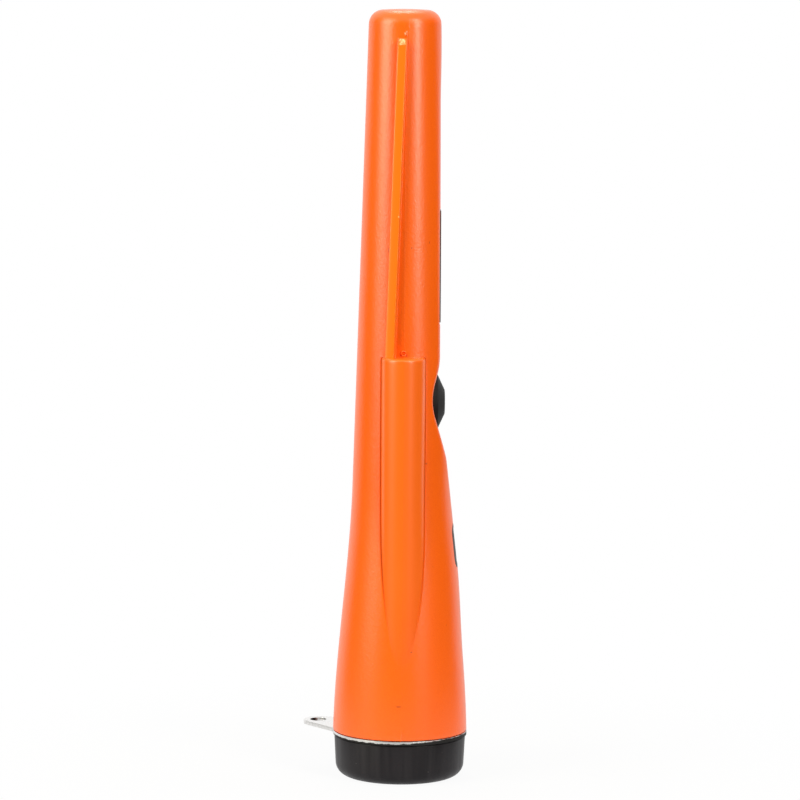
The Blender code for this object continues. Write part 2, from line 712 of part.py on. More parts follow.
def speaker_block(name, inset, low, high, material):
    """A block with round corners in the speaker's seat; its long side runs down the probe."""
    x = half_speaker - inset
    y = SPEAKER_WIDTH / 2 - inset
    corner = SPEAKER_CORNER - inset
    return box(name, (-x, -y, low), (x, y, high), material, speaker_axis, corner)


def body_slice(name, inset):
    """The body around the speaker, drawn in by inset, to trim pieces to its curve."""
    low = z_speaker - 1.2 * half_speaker - SPEAKER_COLLAR
    high = z_speaker + 1.2 * half_speaker + SPEAKER_COLLAR
    return loft(name, [body_ring(z, inset) for z in spaced(low, high, 8) + [high]], None)


collar = speaker_block("speaker_collar", -SPEAKER_COLLAR, -collar_depth, OVERSHOOT, None)
trim(collar, body_slice("collar_trim", WALL / 2))
join(housing, collar)
cut(
    housing,
    speaker_block("speaker_seat", 0.0, -SPEAKER_SEAT_DEPTH, OVERSHOOT, None),
    speaker_block("sound_hole", SPEAKER_LEDGE, -collar_depth - WALL, OVERSHOOT, None),
)
membrane_low = SEAT - SPEAKER_SEAT_DEPTH
cover_low = membrane_low + MEMBRANE_THICKNESS + SEAT
speaker_block("speaker_membrane", FIT, membrane_low, cover_low - SEAT, membrane_black)
cover = speaker_block("speaker_cover", FIT, cover_low, OVERSHOOT, cover_grey)
trim(cover, body_slice("cover_trim", COVER_INSET))
for i in (-1, 0, 1):
    y = i * SLOT_PITCH
    slot_low = (-SLOT_LENGTH / 2, y - SLOT_WIDTH / 2, -SPEAKER_SEAT_DEPTH)
    slot_high = (SLOT_LENGTH / 2, y + SLOT_WIDTH / 2, OVERSHOOT)
    cut(cover, box(f"slot_{i + 2}", slot_low, slot_high, None, speaker_axis))
buzzer_front = -collar_depth - SEAT
buzzer_profile = [
    (0.0, buzzer_front - BUZZER_PORT_DEPTH),
    (BUZZER_PORT_RADIUS, buzzer_front - BUZZER_PORT_DEPTH),
    (BUZZER_PORT_RADIUS, buzzer_front),
    (BUZZER_RADIUS, buzzer_front),
    (BUZZER_RADIUS, buzzer_front - BUZZER_THICKNESS),
    (0.0, buzzer_front - BUZZER_THICKNESS),
]
turned("buzzer", buzzer_profile, buzzer_black, SMALL_STEPS, speaker_axis)

# Board: as wide as the narrow end of the barrel allows
barrel_end = outer_radius(z_board_top) - WALL
half_board = math.sqrt(barrel_end**2 - x_board**2) - BOARD_EDGE
box(
    "circuit_board",
    (x_board, -half_board, z_board),
    (x_board_front, half_board, z_board_top),
    board_green,
)
z_chip = z_led - LED_RADIUS - LED_FLANGE - CHIP_GAP - CHIP_LENGTH
box(
    "control_chip",
    (x_mounted, -CHIP_WIDTH / 2, z_chip),
    (x_mounted + CHIP_THICKNESS, CHIP_WIDTH / 2, z_chip + CHIP_LENGTH),
    chip_black,
)
z_capacitor = z_chip - CHIP_GAP - CAPACITOR_RADIUS
capacitor_axis = station("capacitor_axis", (0, 0, z_capacitor), (0, quarter, 0))
capacitor_top = x_mounted + CAPACITOR_LENGTH
rod("capacitor", CAPACITOR_RADIUS, x_mounted, capacitor_top, can_silver, 20, capacitor_axis)

# Carrier: bulkhead over the battery, spine behind the board, rails beside it, plate under the coil
cushion_radius = TIP_RADIUS - WALL - FIT
coil_flange_radius = cushion_radius - FORMER_INSET
carrier = rod("carrier", bulkhead_radius, z_bulkhead, z_bulkhead_top, carrier_white, TURN_STEPS)
half_spine = half_board - SPINE_INSET
spine_low = (x_spine, -half_spine, z_bulkhead_top - ROOT)
join(
    carrier,
    box("spine", spine_low, (x_spine_front, half_spine, z_top_plate + ROOT), None),
    rod("top_plate", coil_flange_radius, z_top_plate, z_plate_top, None, TURN_STEPS),
)
for side, sign in (("left", -1), ("right", 1)):
    rail_inner = half_board + FIT
    ends = sorted((sign * rail_inner, sign * (rail_inner + RAIL_THICKNESS)))
    rail_low = (x_board, ends[0], z_bulkhead_top - ROOT)
    rail_high = (x_board_front + RAIL_LIP, ends[1], z_bulkhead_top + RAIL_LENGTH)
    join(carrier, box("rail_" + side, rail_low, rail_high, None))
for side, spot in screw_spots:
    hole_top = z_bulkhead_top + ROOT
    hole = SCREW_RADIUS + FIT
    cut(carrier, rod("screw_hole_" + side, hole, z_bulkhead - ROOT, hole_top, None, FINE_STEPS, None, spot))
    head_top = z_bulkhead - SEAT
    head_low = head_top - SCREW_HEAD_HEIGHT
    screw_profile = [
        (0.0, screw_tip),
        (SCREW_RADIUS, screw_tip - SCREW_RADIUS),
        (SCREW_RADIUS, head_top),
        (SCREW_HEAD_RADIUS, head_top),
        (SCREW_HEAD_RADIUS, head_low + SCREW_HEAD_EDGE),
        (SCREW_HEAD_RADIUS - SCREW_HEAD_EDGE, head_low),
        (0.0, head_low),
    ]
    screw_axis = station("screw_axis_" + side, (*spot, 0))
    turned("carrier_screw_" + side, screw_profile, screw_steel, FINE_STEPS, screw_axis)

# Vibration motor with its off-centre weight
motor_axis = station("motor_axis", (x_mounted + MOTOR_RADIUS, 0, z_motor))
motor_profile = [
    (0.0, shaft_top),
    (SHAFT_RADIUS, shaft_top),
    (SHAFT_RADIUS, MOTOR_LENGTH),
    (MOTOR_RADIUS, MOTOR_LENGTH),
    (MOTOR_RADIUS, 0.0),
    (0.0, 0.0),
]
turned("motor_can", motor_profile, motor_steel, SMALL_STEPS, motor_axis)
shaft_hole = SHAFT_RADIUS + FIT
weight_outline = arc(MOTOR_RADIUS - WEIGHT_INSET, -quarter, quarter, 14)
weight_outline += arc(shaft_hole + WEIGHT_HUB, quarter, 3 * quarter, 8)
hole_outline = arc(shaft_hole, 0, 4 * quarter, FINE_STEPS)[:-1]
z_weight = MOTOR_LENGTH + SEAT
weight_shape = (weight_outline, hole_outline)
plate("motor_weight", weight_shape, z_weight, z_weight + WEIGHT_LENGTH, weight_metal, motor_axis)

# Coil in the tip: former, winding, core and cushion
former_bore = ROD_RADIUS + FIT
former_tube = former_bore + FORMER_WALL
z_low_flange = z_former + FORMER_FLANGE_THICKNESS
z_high_flange = z_former_top - FORMER_FLANGE_THICKNESS
former_profile = [
    (coil_flange_radius, z_former_top),
    (coil_flange_radius, z_high_flange),
    (former_tube, z_high_flange),
    (former_tube, z_low_flange),
    (coil_flange_radius, z_low_flange),
    (coil_flange_radius, z_former),
    (former_bore, z_former),
    (former_bore, z_former_top),
]
turned("coil_former", former_profile, former_nylon, SMALL_STEPS, None, True)
coil_inner = former_tube + SEAT
coil_outer = coil_inner + COIL_THICKNESS
coil_profile = [
    (coil_outer, z_high_flange - SEAT),
    (coil_outer, z_low_flange + SEAT),
    (coil_inner, z_low_flange + SEAT),
    (coil_inner, z_high_flange - SEAT),
]
turned("search_coil", coil_profile, coil_copper, SMALL_STEPS, None, True)
rod("ferrite_rod", ROD_RADIUS, z_former, z_rod_top, ferrite_grey, SMALL_STEPS)
cushion_top = z_cavity_top - FIT
cushion_low = z_former_top + SEAT
cushion_profile = [
    (0.0, cushion_top),
    (cushion_radius - CUSHION_CHAMFER, cushion_top),
    (cushion_radius, cushion_top - CUSHION_CHAMFER),
    (cushion_radius, cushion_low),
    (former_bore, cushion_low),
    (former_bore, z_rod_top + SEAT),
    (0.0, z_rod_top + SEAT),
]
turned("tip_cushion", cushion_profile, cushion_foam, SMALL_STEPS)

# Battery and the snap plate over it
half_depth = BATTERY_DEPTH / 2
half_width = BATTERY_WIDTH / 2
battery_low = (-half_depth, -half_width, z_battery)
battery_high = (half_depth, half_width, z_battery_top)
battery = box("battery", battery_low, battery_high, battery_jacket, None, BATTERY_CORNER)
half_length = SNAP_SPACING / 2 + socket_reach
connector_low = (-socket_reach, -half_length, z_connector)
connector_high = (socket_reach, half_length, z_connector_top)
connector = box(
    "battery_connector", connector_low, connector_high, connector_black, None, CONNECTOR_CORNER
)
snap_top = z_battery_top + SNAP_HEIGHT
for size, radius, sign in (("small", SNAP_SMALL_RADIUS, -1), ("large", SNAP_LARGE_RADIUS, 1)):
    spot = (0.0, sign * SNAP_SPACING / 2)
    join(battery, rod("snap_" + size, radius, z_battery_top - ROOT, snap_top, None, 20, None, spot))
    socket = rod(
        "socket_" + size, radius + FIT, z_battery_top, snap_top + SEAT, None, 20, None, spot
    )
    cut(connector, socket)

# Screw cap with its collar, pad and seal, and the lanyard ring that it clamps
cap_radius = rim_radius - CAP_STEP
foot_radius = cap_radius - CAP_TAPER - CAP_EDGE
cap_profile = [
    (0.0, CAP_FLOOR),
    (chamber_radius, CAP_FLOOR),
    (chamber_radius, z_spigot),
    (spigot_radius, z_spigot),
    (spigot_radius, CAP_HEIGHT),
    (cap_radius, CAP_HEIGHT),
]
cap_profile += arc(CAP_EDGE, 0, -quarter, 4, (foot_radius, CAP_EDGE))
cap_profile.append((0.0, 0.0))
turned("end_cap", cap_profile, black, TURN_STEPS, cap_axis)
pad_radius = chamber_radius - PAD_MARGIN
rod("cap_pad", pad_radius, z_pad, z_pad + PAD_THICKNESS, pad_foam, SMALL_STEPS, cap_axis)
seal_profile = arc(SEAL_THICKNESS / 2, 0, -4 * quarter, 8, (seal_middle, z_seal))[:-1]
turned("cap_seal", seal_profile, seal_rubber, TURN_STEPS, cap_axis, True)
ring_axis = station("ring_axis", (0, 0, 0), (0, 0, -EAR_SWING))
side_turn = quarter - EAR_FLARE
side_reach = EAR_REACH * math.sin(EAR_FLARE) + EAR_RADIUS
root_turn = side_turn - math.acos(min(1.0, side_reach / rim_radius))
ring_outline = arc(rim_radius, root_turn - math.pi, math.pi - root_turn, 40)
ring_outline += arc(EAR_RADIUS, math.pi - side_turn, math.pi + side_turn, 12, (-EAR_REACH, 0.0))
ring_bore = arc(spigot_radius + FIT, 0, 4 * quarter, TURN_STEPS)[:-1]
ear_hole = arc(EAR_HOLE_RADIUS, 0, 4 * quarter, 20, (-EAR_REACH, 0.0))[:-1]
ring_shape = (ring_outline, ring_bore, ear_hole)
plate("lanyard_ring", ring_shape, z_ring, z_ring + RING_THICKNESS, ring_steel, ring_axis)
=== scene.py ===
# %% [markdown]
# A pinpointer probe is the short wand that finds a coin in a freshly dug hole. The solids of the
# part come packed as a frame. This lesson dresses them for a picture: every piece that shows gets
# a finer mesh and a finish made of shader nodes, and nothing is moved.

# %% Load the frame
import json
from math import acos, asin, atan, atan2, cos, degrees, exp, hypot, inf, pi, radians, sin, sqrt, tan

import bmesh
import bpy
from mathutils import Matrix, Vector


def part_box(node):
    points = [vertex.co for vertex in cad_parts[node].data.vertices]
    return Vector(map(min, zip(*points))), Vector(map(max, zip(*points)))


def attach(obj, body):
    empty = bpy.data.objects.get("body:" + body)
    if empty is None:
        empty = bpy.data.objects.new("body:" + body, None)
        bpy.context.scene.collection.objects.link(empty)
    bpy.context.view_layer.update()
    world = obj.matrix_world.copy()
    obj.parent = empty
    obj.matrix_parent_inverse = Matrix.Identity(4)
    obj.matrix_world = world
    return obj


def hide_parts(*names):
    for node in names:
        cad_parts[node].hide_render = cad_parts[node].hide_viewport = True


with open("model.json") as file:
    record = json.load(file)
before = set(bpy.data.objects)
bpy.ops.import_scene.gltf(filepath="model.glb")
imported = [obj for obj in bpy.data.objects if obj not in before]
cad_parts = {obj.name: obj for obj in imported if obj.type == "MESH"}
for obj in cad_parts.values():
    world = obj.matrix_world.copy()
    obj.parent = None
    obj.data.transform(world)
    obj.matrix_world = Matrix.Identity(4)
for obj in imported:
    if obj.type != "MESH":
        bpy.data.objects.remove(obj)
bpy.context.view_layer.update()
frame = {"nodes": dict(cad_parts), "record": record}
record = frame["record"]
slot_of = {entry["node"]: entry["material_slot"] for entry in record["subparts"]}
body_of = {node: body for body, nodes in record["behaviour"]["bodies"].items() for node in nodes}
print("nodes in the frame:", len(frame["nodes"]))

# %% [markdown]
# The frame already knows where each piece sits, so the levels and radii are read from the boxes
# of the nodes. Only shapes that a box can't tell, such as how fast the barrel widens, are
# written here as sizes of their own.

# %% Read the levels from the solids
CAP_STEP = 0.0002

z_rim, z_tip = (corner.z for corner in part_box("housing"))
z_cap_top, z_ring_top = (corner.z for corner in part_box("lanyard_ring"))
z_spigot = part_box("end_cap")[1].z
button_low, button_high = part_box("power_button")
z_button = (button_low.z + button_high.z) / 2
cap_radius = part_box("end_cap")[1].x
rim_radius = cap_radius + CAP_STEP
quarter = pi / 2
print(f"rim {z_rim:.4f}  button {z_button:.4f}  tip {z_tip:.4f}  rim radius {rim_radius:.4f}")

# %% [markdown]
# Shader maths reads best as arithmetic. This class wraps one output socket of a node. Adding,
# multiplying or subtracting wrapped sockets makes the Math nodes, and `add` makes any other node.

# %% Shader sockets that calculate
class Socket:
    """One output of a shader node; arithmetic on it adds Math nodes to the same tree."""

    def __init__(self, tree, output=None):
        self.tree = tree
        self.output = output

    def add(self, kind, inputs=None, result=0, **settings):
        """Add any node: its settings first, then the values or links of its sockets."""
        node = self.tree.nodes.new("ShaderNode" + kind)
        for name, value in settings.items():
            setattr(node, name, value)
        for name, value in (inputs or {}).items():
            if isinstance(value, Socket):
                self.tree.links.new(value.output, node.inputs[name])
            else:
                node.inputs[name].default_value = value
        return Socket(self.tree, node.outputs[result])

    def math(self, operation, first, second=0.0):
        return self.add("Math", {0: first, 1: second}, operation=operation)

    def __add__(self, other):
        return self.math("ADD", self, other)

    __radd__ = __add__

    def __sub__(self, other):
        return self.math("SUBTRACT", self, other)

    def __rsub__(self, other):
        return self.math("SUBTRACT", other, self)

    def __mul__(self, other):
        return self.math("MULTIPLY", self, other)

    __rmul__ = __mul__

    def __abs__(self):
        return self.math("ABSOLUTE", self)

    def vector(self, operation, *others):
        """Vector Math on this socket; a length or a distance comes out as a number."""
        result = "Value" if operation in ("LENGTH", "DISTANCE") else "Vector"
        return self.add("VectorMath", dict(enumerate((self, *others))), result, operation=operation)

    def axis(self, name):
        return self.add("SeparateXYZ", {0: self}, name)

    def slope(self, low, high, base=0.0, kind="LINEAR"):
        """0 at the low end, 1 at the high end and a ramp between; both ends count from a base."""
        inputs = {"Value": self, "From Min": base + low, "From Max": base + high}
        return self.add("MapRange", inputs, interpolation_type=kind)

    def mix(self, first, second):
        """A colour between two others, with this socket as the factor."""
        colours = [c if isinstance(c, Socket) else (*c, 1.0) for c in (first, second)]
        return self.add("Mix", {0: self, 6: colours[0], 7: colours[1]}, 2, data_type="RGBA")

    def bump(self, depth, strength):
        return self.add("Bump", {"Height": self, "Distance": depth, "Strength": strength})


print("a socket can:", [name for name in vars(Socket) if not name.startswith("_")])

# %% [markdown]
# Every finish starts the same way: a Principled shader whose constant values are set on its own
# sockets, and whose colour, roughness and normal may be fed by nodes. Noise is read in object
# space, so the grain keeps its real size in metres on every piece.

# %% Helpers for finishes
def new_finish(name, **constants):
    """A material, its Principled shader's inputs and a Socket to start expressions from."""
    finish = bpy.data.materials.new(name)
    finish.use_nodes = True
    tree = finish.node_tree
    shader = tree.nodes["Principled BSDF"]
    for key, value in constants.items():
        shader.inputs[key.replace("_", " ")].default_value = value
    return finish, shader.inputs, Socket(tree)


def feed(inputs, name, socket):
    socket.tree.links.new(socket.output, inputs[name])


def object_place(start):
    return start.add("TexCoord", result="Object")


def noise(start, size, detail=2.0, stretch=(1.0, 1.0, 1.0)):
    """Noise with spots of about the given size in metres, longer where stretch is above 1."""
    place = object_place(start).vector("MULTIPLY", tuple(1.0 / s for s in stretch))
    return start.add("TexNoise", {"Vector": place, "Scale": 1.0 / size, "Detail": detail})


def specks(start, size, share):
    """A mask of scattered round specks; share is the part of each cell that a speck covers."""
    cells = start.add("TexVoronoi", {"Vector": object_place(start), "Scale": 1.0 / size})
    return cells.slope(share, share * 0.6)


print("materials that came with the frame:", len(bpy.data.materials))

# %% [markdown]
# The housing is the piece that makes the probe. Its outside is a drafted barrel that flares
# towards the base and swells a little around the speaker. A scan or a sculpted mesh could give it
# too, but short formulas can be worked out at any height.

# %% Barrel
TIP_RADIUS = 0.0106
BARREL_DRAFT = 0.0289
FLARE_TOP = 0.0737
FLARE_LENGTH = 0.0720
SWELL = 0.0007
SWELL_HEIGHT = 0.0490
SWELL_REACH = 0.0280

z_flare = z_rim + FLARE_TOP
flare_rise = rim_radius - TIP_RADIUS - BARREL_DRAFT * (z_tip - z_rim)


def ease(t):
    t = min(1.0, max(0.0, t))
    return t * t * (3 - 2 * t)


def outer_radius(z):
    flare = flare_rise * ease((z_flare - z) / FLARE_LENGTH)
    return TIP_RADIUS + BARREL_DRAFT * (z_tip - z) + flare


def swell(z):
    t = (z - z_rim - SWELL_HEIGHT) / SWELL_REACH
    return SWELL * cos(t * quarter) ** 2 if abs(t) < 1 else 0.0


print(f"radius at the tip {outer_radius(z_tip):.4f}, at the rim {outer_radius(z_rim):.4f}")

# %% [markdown]
# The front is cut flat for the label, and a finger scoop is sunk into it at the button. Under the
# scoop a ramp leads down to the base. Each limits how far the front reaches, and a soft minimum
# rounds the corners where one takes over from another.

# %% Flat front with its scoop
FACET_RISE = 0.00035
FACET_FADE = 0.0280
FACET_LIFT = 0.0009
FACET_BLEND = 0.0010
SCOOP_HEIGHT = 0.1003
SCOOP_RADIUS = 0.0180
SCOOP_SLOPE = 0.28
SCOOP_LOW_SLOPE = 0.29
SCOOP_DEPTH = 0.0022
SCOOP_BLEND = 0.0008
SCOOP_LOW_BLEND = 0.0003
RAMP_SLOPE = 0.121
RAMP_BLEND = 0.0004
RAMP_REACH = 0.0145

z_scoop = z_rim + SCOOP_HEIGHT


def soft_min(a, b, blend):
    """The smaller of two values, with the corner between them rounded off."""
    gap = a - b
    if abs(gap) >= blend:
        return min(a, b)
    return a - (gap + blend) ** 2 / (4 * blend)


def facet(z):
    lean = FACET_RISE * (z_tip - z) / (z_tip - z_scoop)
    return TIP_RADIUS + lean + FACET_LIFT * (1 - ease((z_tip - z) / FACET_FADE))


scoop_floor = facet(z_scoop) - SCOOP_DEPTH


def scoop_rise(away, steep):
    """Height over the scoop's floor: a round bottom that runs out into a straight slope."""
    lean = atan(steep)
    run = SCOOP_RADIUS * sin(lean)
    if away < run:
        return SCOOP_RADIUS - sqrt(SCOOP_RADIUS**2 - away**2)
    return SCOOP_RADIUS * (1 - cos(lean)) + steep * (away - run)


def front_limit(z):
    """How far the front reaches: the flat above the scoop, the scoop, or the ramp below it."""
    away = z_scoop - z
    if away <= 0:
        return soft_min(facet(z), scoop_floor + scoop_rise(-away, SCOOP_SLOPE), SCOOP_BLEND)
    ramp = facet(z_scoop) + RAMP_SLOPE * away
    return soft_min(ramp, scoop_floor + scoop_rise(away, SCOOP_LOW_SLOPE), SCOOP_LOW_BLEND)


def edge_blend(z):
    """Rounding along the edge of the flat front; it gets crisper down the ramp."""
    return FACET_BLEND + (RAMP_BLEND - FACET_BLEND) * ease((z_scoop - z) / RAMP_REACH)


def front_x(z):
    return soft_min(outer_radius(z) + swell(z), front_limit(z), edge_blend(z))


def body_point(angle, z, inset=0.0, shrink=0.0):
    """A point of the body; the angle runs from the blade's side towards the front."""
    radius = outer_radius(z) - inset - shrink
    x = radius * sin(angle)
    if x > 0:
        reach = (radius + swell(z)) * sin(angle)
        x = soft_min(reach, front_limit(z) - inset, edge_blend(z))
    return Vector((x, -radius * cos(angle), z))


print(f"front at the scoop {front_x(z_scoop):.4f}, at the tip {front_x(z_tip):.4f}")

# %% [markdown]
# Three things stand out of the body: a half-round bulge on either side, the scraping blade above
# the bulge that faces us, and the thin witness line where the halves of the mould met. Each is
# given as a height over the barrel, so they blend where they meet. The bulges come first, with
# the fine groove that runs round them.

# %% Bulges
BULGE_RADIUS = 0.0065
BULGE_REACH = 0.0188
BULGE_TOP = 0.1133
BULGE_EDGE = 0.0008
BULGE_FILLET = 0.0002
LEAST_CREASE = 0.06
LEDGE_FILLET = 0.0003
GROOVE_DEPTH = 0.00024
GROOVE_WIDTH = 0.00020
GROOVE_CORNER = 0.0013
GROOVE_START = 0.15
GROOVE_FADE = 0.25

z_bulge_top = z_rim + BULGE_TOP
bulge_centre = BULGE_REACH - BULGE_RADIUS


def bulge_height(angle, z):
    """Height of the bulge over the barrel at an angle from its middle."""
    drop = max(0.0, BULGE_EDGE - (z_bulge_top - z))
    radius = BULGE_RADIUS - BULGE_EDGE + sqrt(BULGE_EDGE**2 - min(drop, BULGE_EDGE) ** 2)
    side = bulge_centre * sin(angle)
    if abs(side) >= radius or cos(angle) < 0:
        return 0.0
    reach = bulge_centre * cos(angle) + sqrt(radius**2 - side**2)
    return -soft_min(outer_radius(z) - reach, 0.0, BULGE_FILLET)


def crease_angle(z):
    """Angle at which the bulge sinks into the barrel."""
    radius = outer_radius(min(z, z_bulge_top))
    cosine = (radius**2 + bulge_centre**2 - BULGE_RADIUS**2) / (2 * radius * bulge_centre)
    return max(LEAST_CREASE, acos(min(1.0, cosine)))


def groove_depth(angle, z):
    """Depth of the fine groove that runs round the foot of the bulge."""
    crease = crease_angle(z)
    aside = outer_radius(z) * (abs(angle) - crease) + GROOVE_CORNER
    above = z - z_bulge_top - LEDGE_FILLET + GROOVE_CORNER
    apart = hypot(aside, above) if aside > 0 and above > 0 else max(aside, above)
    depth = GROOVE_DEPTH * ease((crease - GROOVE_START) / GROOVE_FADE)
    return depth * exp(-(((apart - GROOVE_CORNER) / GROOVE_WIDTH) ** 2))


print(f"bulge sinks at {degrees(crease_angle(z_bulge_top)):.1f} degrees under its top")

# %% [markdown]
# The blade is a thin rib for scraping soil from a find. Half of its section is drawn once, with a
# rounded edge and foot, and mirrored. Its upper end was trimmed at a slant.

# %% Blade
BLADE_WIDTH = 0.00225
BLADE_HEIGHT = 0.0022
BLADE_EDGE = 0.00025
BLADE_DRAFT = 0.00008
BLADE_FOOT = 0.00025
BLADE_DROP = 0.0080
BLADE_TOP_OFFSET = 0.0009
BLADE_FOOT_OFFSET = 0.0037
BLADE_CUT_SLOPE = 1.1

z_blade_top = z_tip - BLADE_DROP
z_blade_cut = z_blade_top - BLADE_HEIGHT / BLADE_CUT_SLOPE


def blade_middle(z):
    """How far in front of the side's middle the blade lies; it leans back on its way down."""
    t = (z_blade_top - z) / (z_blade_top - z_bulge_top)
    t = min(1.0, max(0.0, t))
    return -BLADE_TOP_OFFSET - (BLADE_FOOT_OFFSET - BLADE_TOP_OFFSET) * t


def bend(count):
    """Sine and cosine at even steps through a quarter turn, for the roundings below."""
    return [(sin(quarter * i / count), cos(quarter * i / count)) for i in range(count + 1)]


blade_flat = BLADE_WIDTH / 2 - BLADE_EDGE
blade_foot = BLADE_WIDTH / 2 + BLADE_DRAFT
blade_right = [(blade_flat * 0.5, BLADE_HEIGHT)]
blade_right += [(blade_flat + BLADE_EDGE * s, BLADE_HEIGHT - BLADE_EDGE * (1 - c)) for s, c in bend(4)]
blade_right += [(blade_foot + BLADE_FOOT * (1 - c), BLADE_FOOT * (1 - s)) for s, c in bend(3)]
blade_points = [(-s, h) for s, h in reversed(blade_right)] + [(0.0, BLADE_HEIGHT)] + blade_right
blade_reach = blade_right[-1][0]


def blade_height(offset, z):
    """Height of the blade at an offset from its middle; its upper end is cut at a slant."""
    side = abs(offset)
    if side > blade_reach or z > z_blade_top:
        return 0.0
    for (s0, h0), (s1, h1) in zip(blade_points, blade_points[1:]):
        if s0 <= -side <= s1 and s1 > s0:
            height = h0 + (h1 - h0) * (-side - s0) / (s1 - s0)
    return min(height, (z_blade_top - z) * BLADE_CUT_SLOPE)


print("points across the blade:", len(blade_points))

# %% [markdown]
# The witness line is the trace of the mould's joint. Where the mould has worn, some plastic has
# squeezed in, and the line grows into a small spot of flash.

# %% Witness line
LINE_HEIGHT = 0.000025
LINE_WIDTH = 0.00011
LINE_GAP = 0.0003
FLASH_SPOTS = (
    # place across the side, level, half width, half length, height
    (0.0, z_rim, 0.00020, 0.0026, 0.00026),
    (0.0, z_blade_top + 0.0011, 0.00028, 0.00055, 0.00045),
)


def line_middle(z):
    """Course of the witness line: down the middle of the side, pushed aside by the blade."""
    return max(0.0, blade_middle(z) + blade_reach + LINE_GAP)


def witness_height(x, z):
    height = LINE_HEIGHT * exp(-(((x - line_middle(z)) / LINE_WIDTH) ** 2))
    for spot_x, spot_z, half_width, half_length, rise in FLASH_SPOTS:
        apart = hypot((x - spot_x) / half_width, (z - spot_z) / half_length)
        height = max(height, rise * exp(-(apart**2)))
    return height


print(f"witness line at the tip {line_middle(z_tip):.4f}, over the bulge {line_middle(z_bulge_top):.4f}")

# %% [markdown]
# The orange shell is a satin moulding. The mould of its barrel was spark-eroded, which leaves a
# fine grain that breaks up the highlights. The bulges and the blade were cut with a polished tool,
# so they carry no grain, and the thin blade lets some light through and looks yellower. The shader
# can tell them apart by itself: it works out the barrel's radius at each height and sees how far
# a point stands out over it.

# %% Raised parts of the shell
# Ends of ramps: across the side, over the rim, over the barrel, over the ledge, at the blade's cut.
SIDE_ENDS = (0.0085, 0.0075)
BASE_ENDS = (0.022, 0.048)
RAISED_ENDS = (0.00015, 0.0004)
CREST_ENDS = (0.0008, 0.0021)
SUNK_ENDS = (-0.00003, -0.00014)
SUNK_DEEP_ENDS = (-0.0006, -0.0004)
LEDGE_ENDS = (-0.0004, 0.0002)
BELOW_BLADE_ENDS = (0.0012, 0.0008)
CUT_ENDS = (-0.0001, 0.0005)
CUT_SIDE_ENDS = (0.0010, 0.0006)
CUT_OFFSET = BLADE_TOP_OFFSET + 0.0002
CUT_RAGGED = 0.0024


def raised_parts(start):
    """Masks of what stands out at the sides, the blade's crest, its trimmed end and the groove."""
    place = object_place(start)
    x, z = place.axis("X"), place.axis("Z")
    radius = place.vector("MULTIPLY", (1.0, 1.0, 0.0)).vector("LENGTH")
    flare = z.slope(0.0, -FLARE_LENGTH, z_flare, "SMOOTHSTEP") * flare_rise
    over = radius - (TIP_RADIUS + (z_tip - z) * BARREL_DRAFT + flare)
    side = abs(x).slope(*SIDE_ENDS) * z.slope(*BASE_ENDS, z_rim)
    raised = over.slope(*RAISED_ENDS) * side
    crest = raised * z.slope(*LEDGE_ENDS, z_bulge_top) * over.slope(*CREST_ENDS)
    ragged = (noise(start, 0.0008, 3.0) - 0.5) * CUT_RAGGED
    trimmed = raised * (z + ragged).slope(*CUT_ENDS, z_blade_cut)
    trimmed = trimmed * (abs(x + CUT_OFFSET) + ragged * 0.6).slope(*CUT_SIDE_ENDS)
    sunk = over.slope(*SUNK_ENDS) * over.slope(*SUNK_DEEP_ENDS) * side
    return raised, crest, trimmed, sunk * z.slope(*BELOW_BLADE_ENDS, z_bulge_top)


print(f"blade trimmed from {z_blade_cut:.4f} to {z_blade_top:.4f}")

# %% [markdown]
# A probe that has been in a bag has small marks: a few dark dots and a fresh pale nick on the
# blade. A dark spot is also laid near the base, and two dark dots beside the pip are painted shade.
# Each is a stretched ball in object space, and the colour changes where a ball touches the surface.

# %% Marks of use
MARKS_AND_PIP_SHADE = (
    # place across the side, height over the rim, half width, half length
    (-0.0046, 0.1449, 0.00018, 0.0011),
    (0.0021, 0.1456, 0.00030, 0.00022),
    (0.0074, 0.1471, 0.00014, 0.00040),
    (0.0069, 0.0819, 0.00030, 0.00030),
    (0.0028, 0.0264, 0.00032, 0.00026),
    (-0.0009, 0.0103, 0.00100, 0.00028),
    # The last two are painted shade beside the pip.
    (-0.0008, 0.1140, 0.00034, 0.00044),
    (0.0008, 0.1140, 0.00034, 0.00044),
)
NICKS = ((-0.0018, 0.1549, 0.00036, 0.00036),)
MARK_DEPTH = 0.003


def marks(start, places):
    total = 0.0
    for x, rise, half_width, half_length in places:
        z = z_rim + rise
        centre = (x, -sqrt(outer_radius(z) ** 2 - x**2), z)
        scale = (1 / half_width, 1 / MARK_DEPTH, 1 / half_length)
        apart = object_place(start).vector("SUBTRACT", centre).vector("MULTIPLY", scale)
        total = apart.vector("LENGTH").slope(1.2, 0.5) + total
    return total


print("dark marks:", len(MARKS_AND_PIP_SHADE), " pale nicks:", len(NICKS))

# %% [markdown]
# Now the finish itself. It starts from two close oranges and lays one thing after another over them
# with Mix nodes: pits of the grain, polish with a little painted sheen, the thin crest, a painted
# highlight on the trimmed end, painted shade in the groove, and marks, two of them painted shade
# beside the pip.

# %% Orange moulding
ORANGE = (0.98, 0.139, 0.003)
ORANGE_DEEP = (0.96, 0.125, 0.002)
ORANGE_PIT = (0.86, 0.080, 0.002)
# Polished parts: a little paler than the rest, as painted sheen.
ORANGE_POLISHED_WITH_SHEEN = (0.98, 0.148, 0.008)
ORANGE_THIN = (0.98, 0.175, 0.004)
# Pale cream: a painted highlight on the blade's cut end, and the colour of the pale nick.
ORANGE_NICK_AND_HIGHLIGHT = (0.98, 0.60, 0.28)
# Dark marks, and painted shade beside the pip.
ORANGE_MARK_AND_SHADE = (0.40, 0.050, 0.010)
# Painted shade for the crease at the foot of the bulge.
GROOVE_PAINTED_SHADE = (0.50, 0.055, 0.008)
ORANGE_GRAIN = 0.0007
ORANGE_FINE_GRAIN = 0.0003

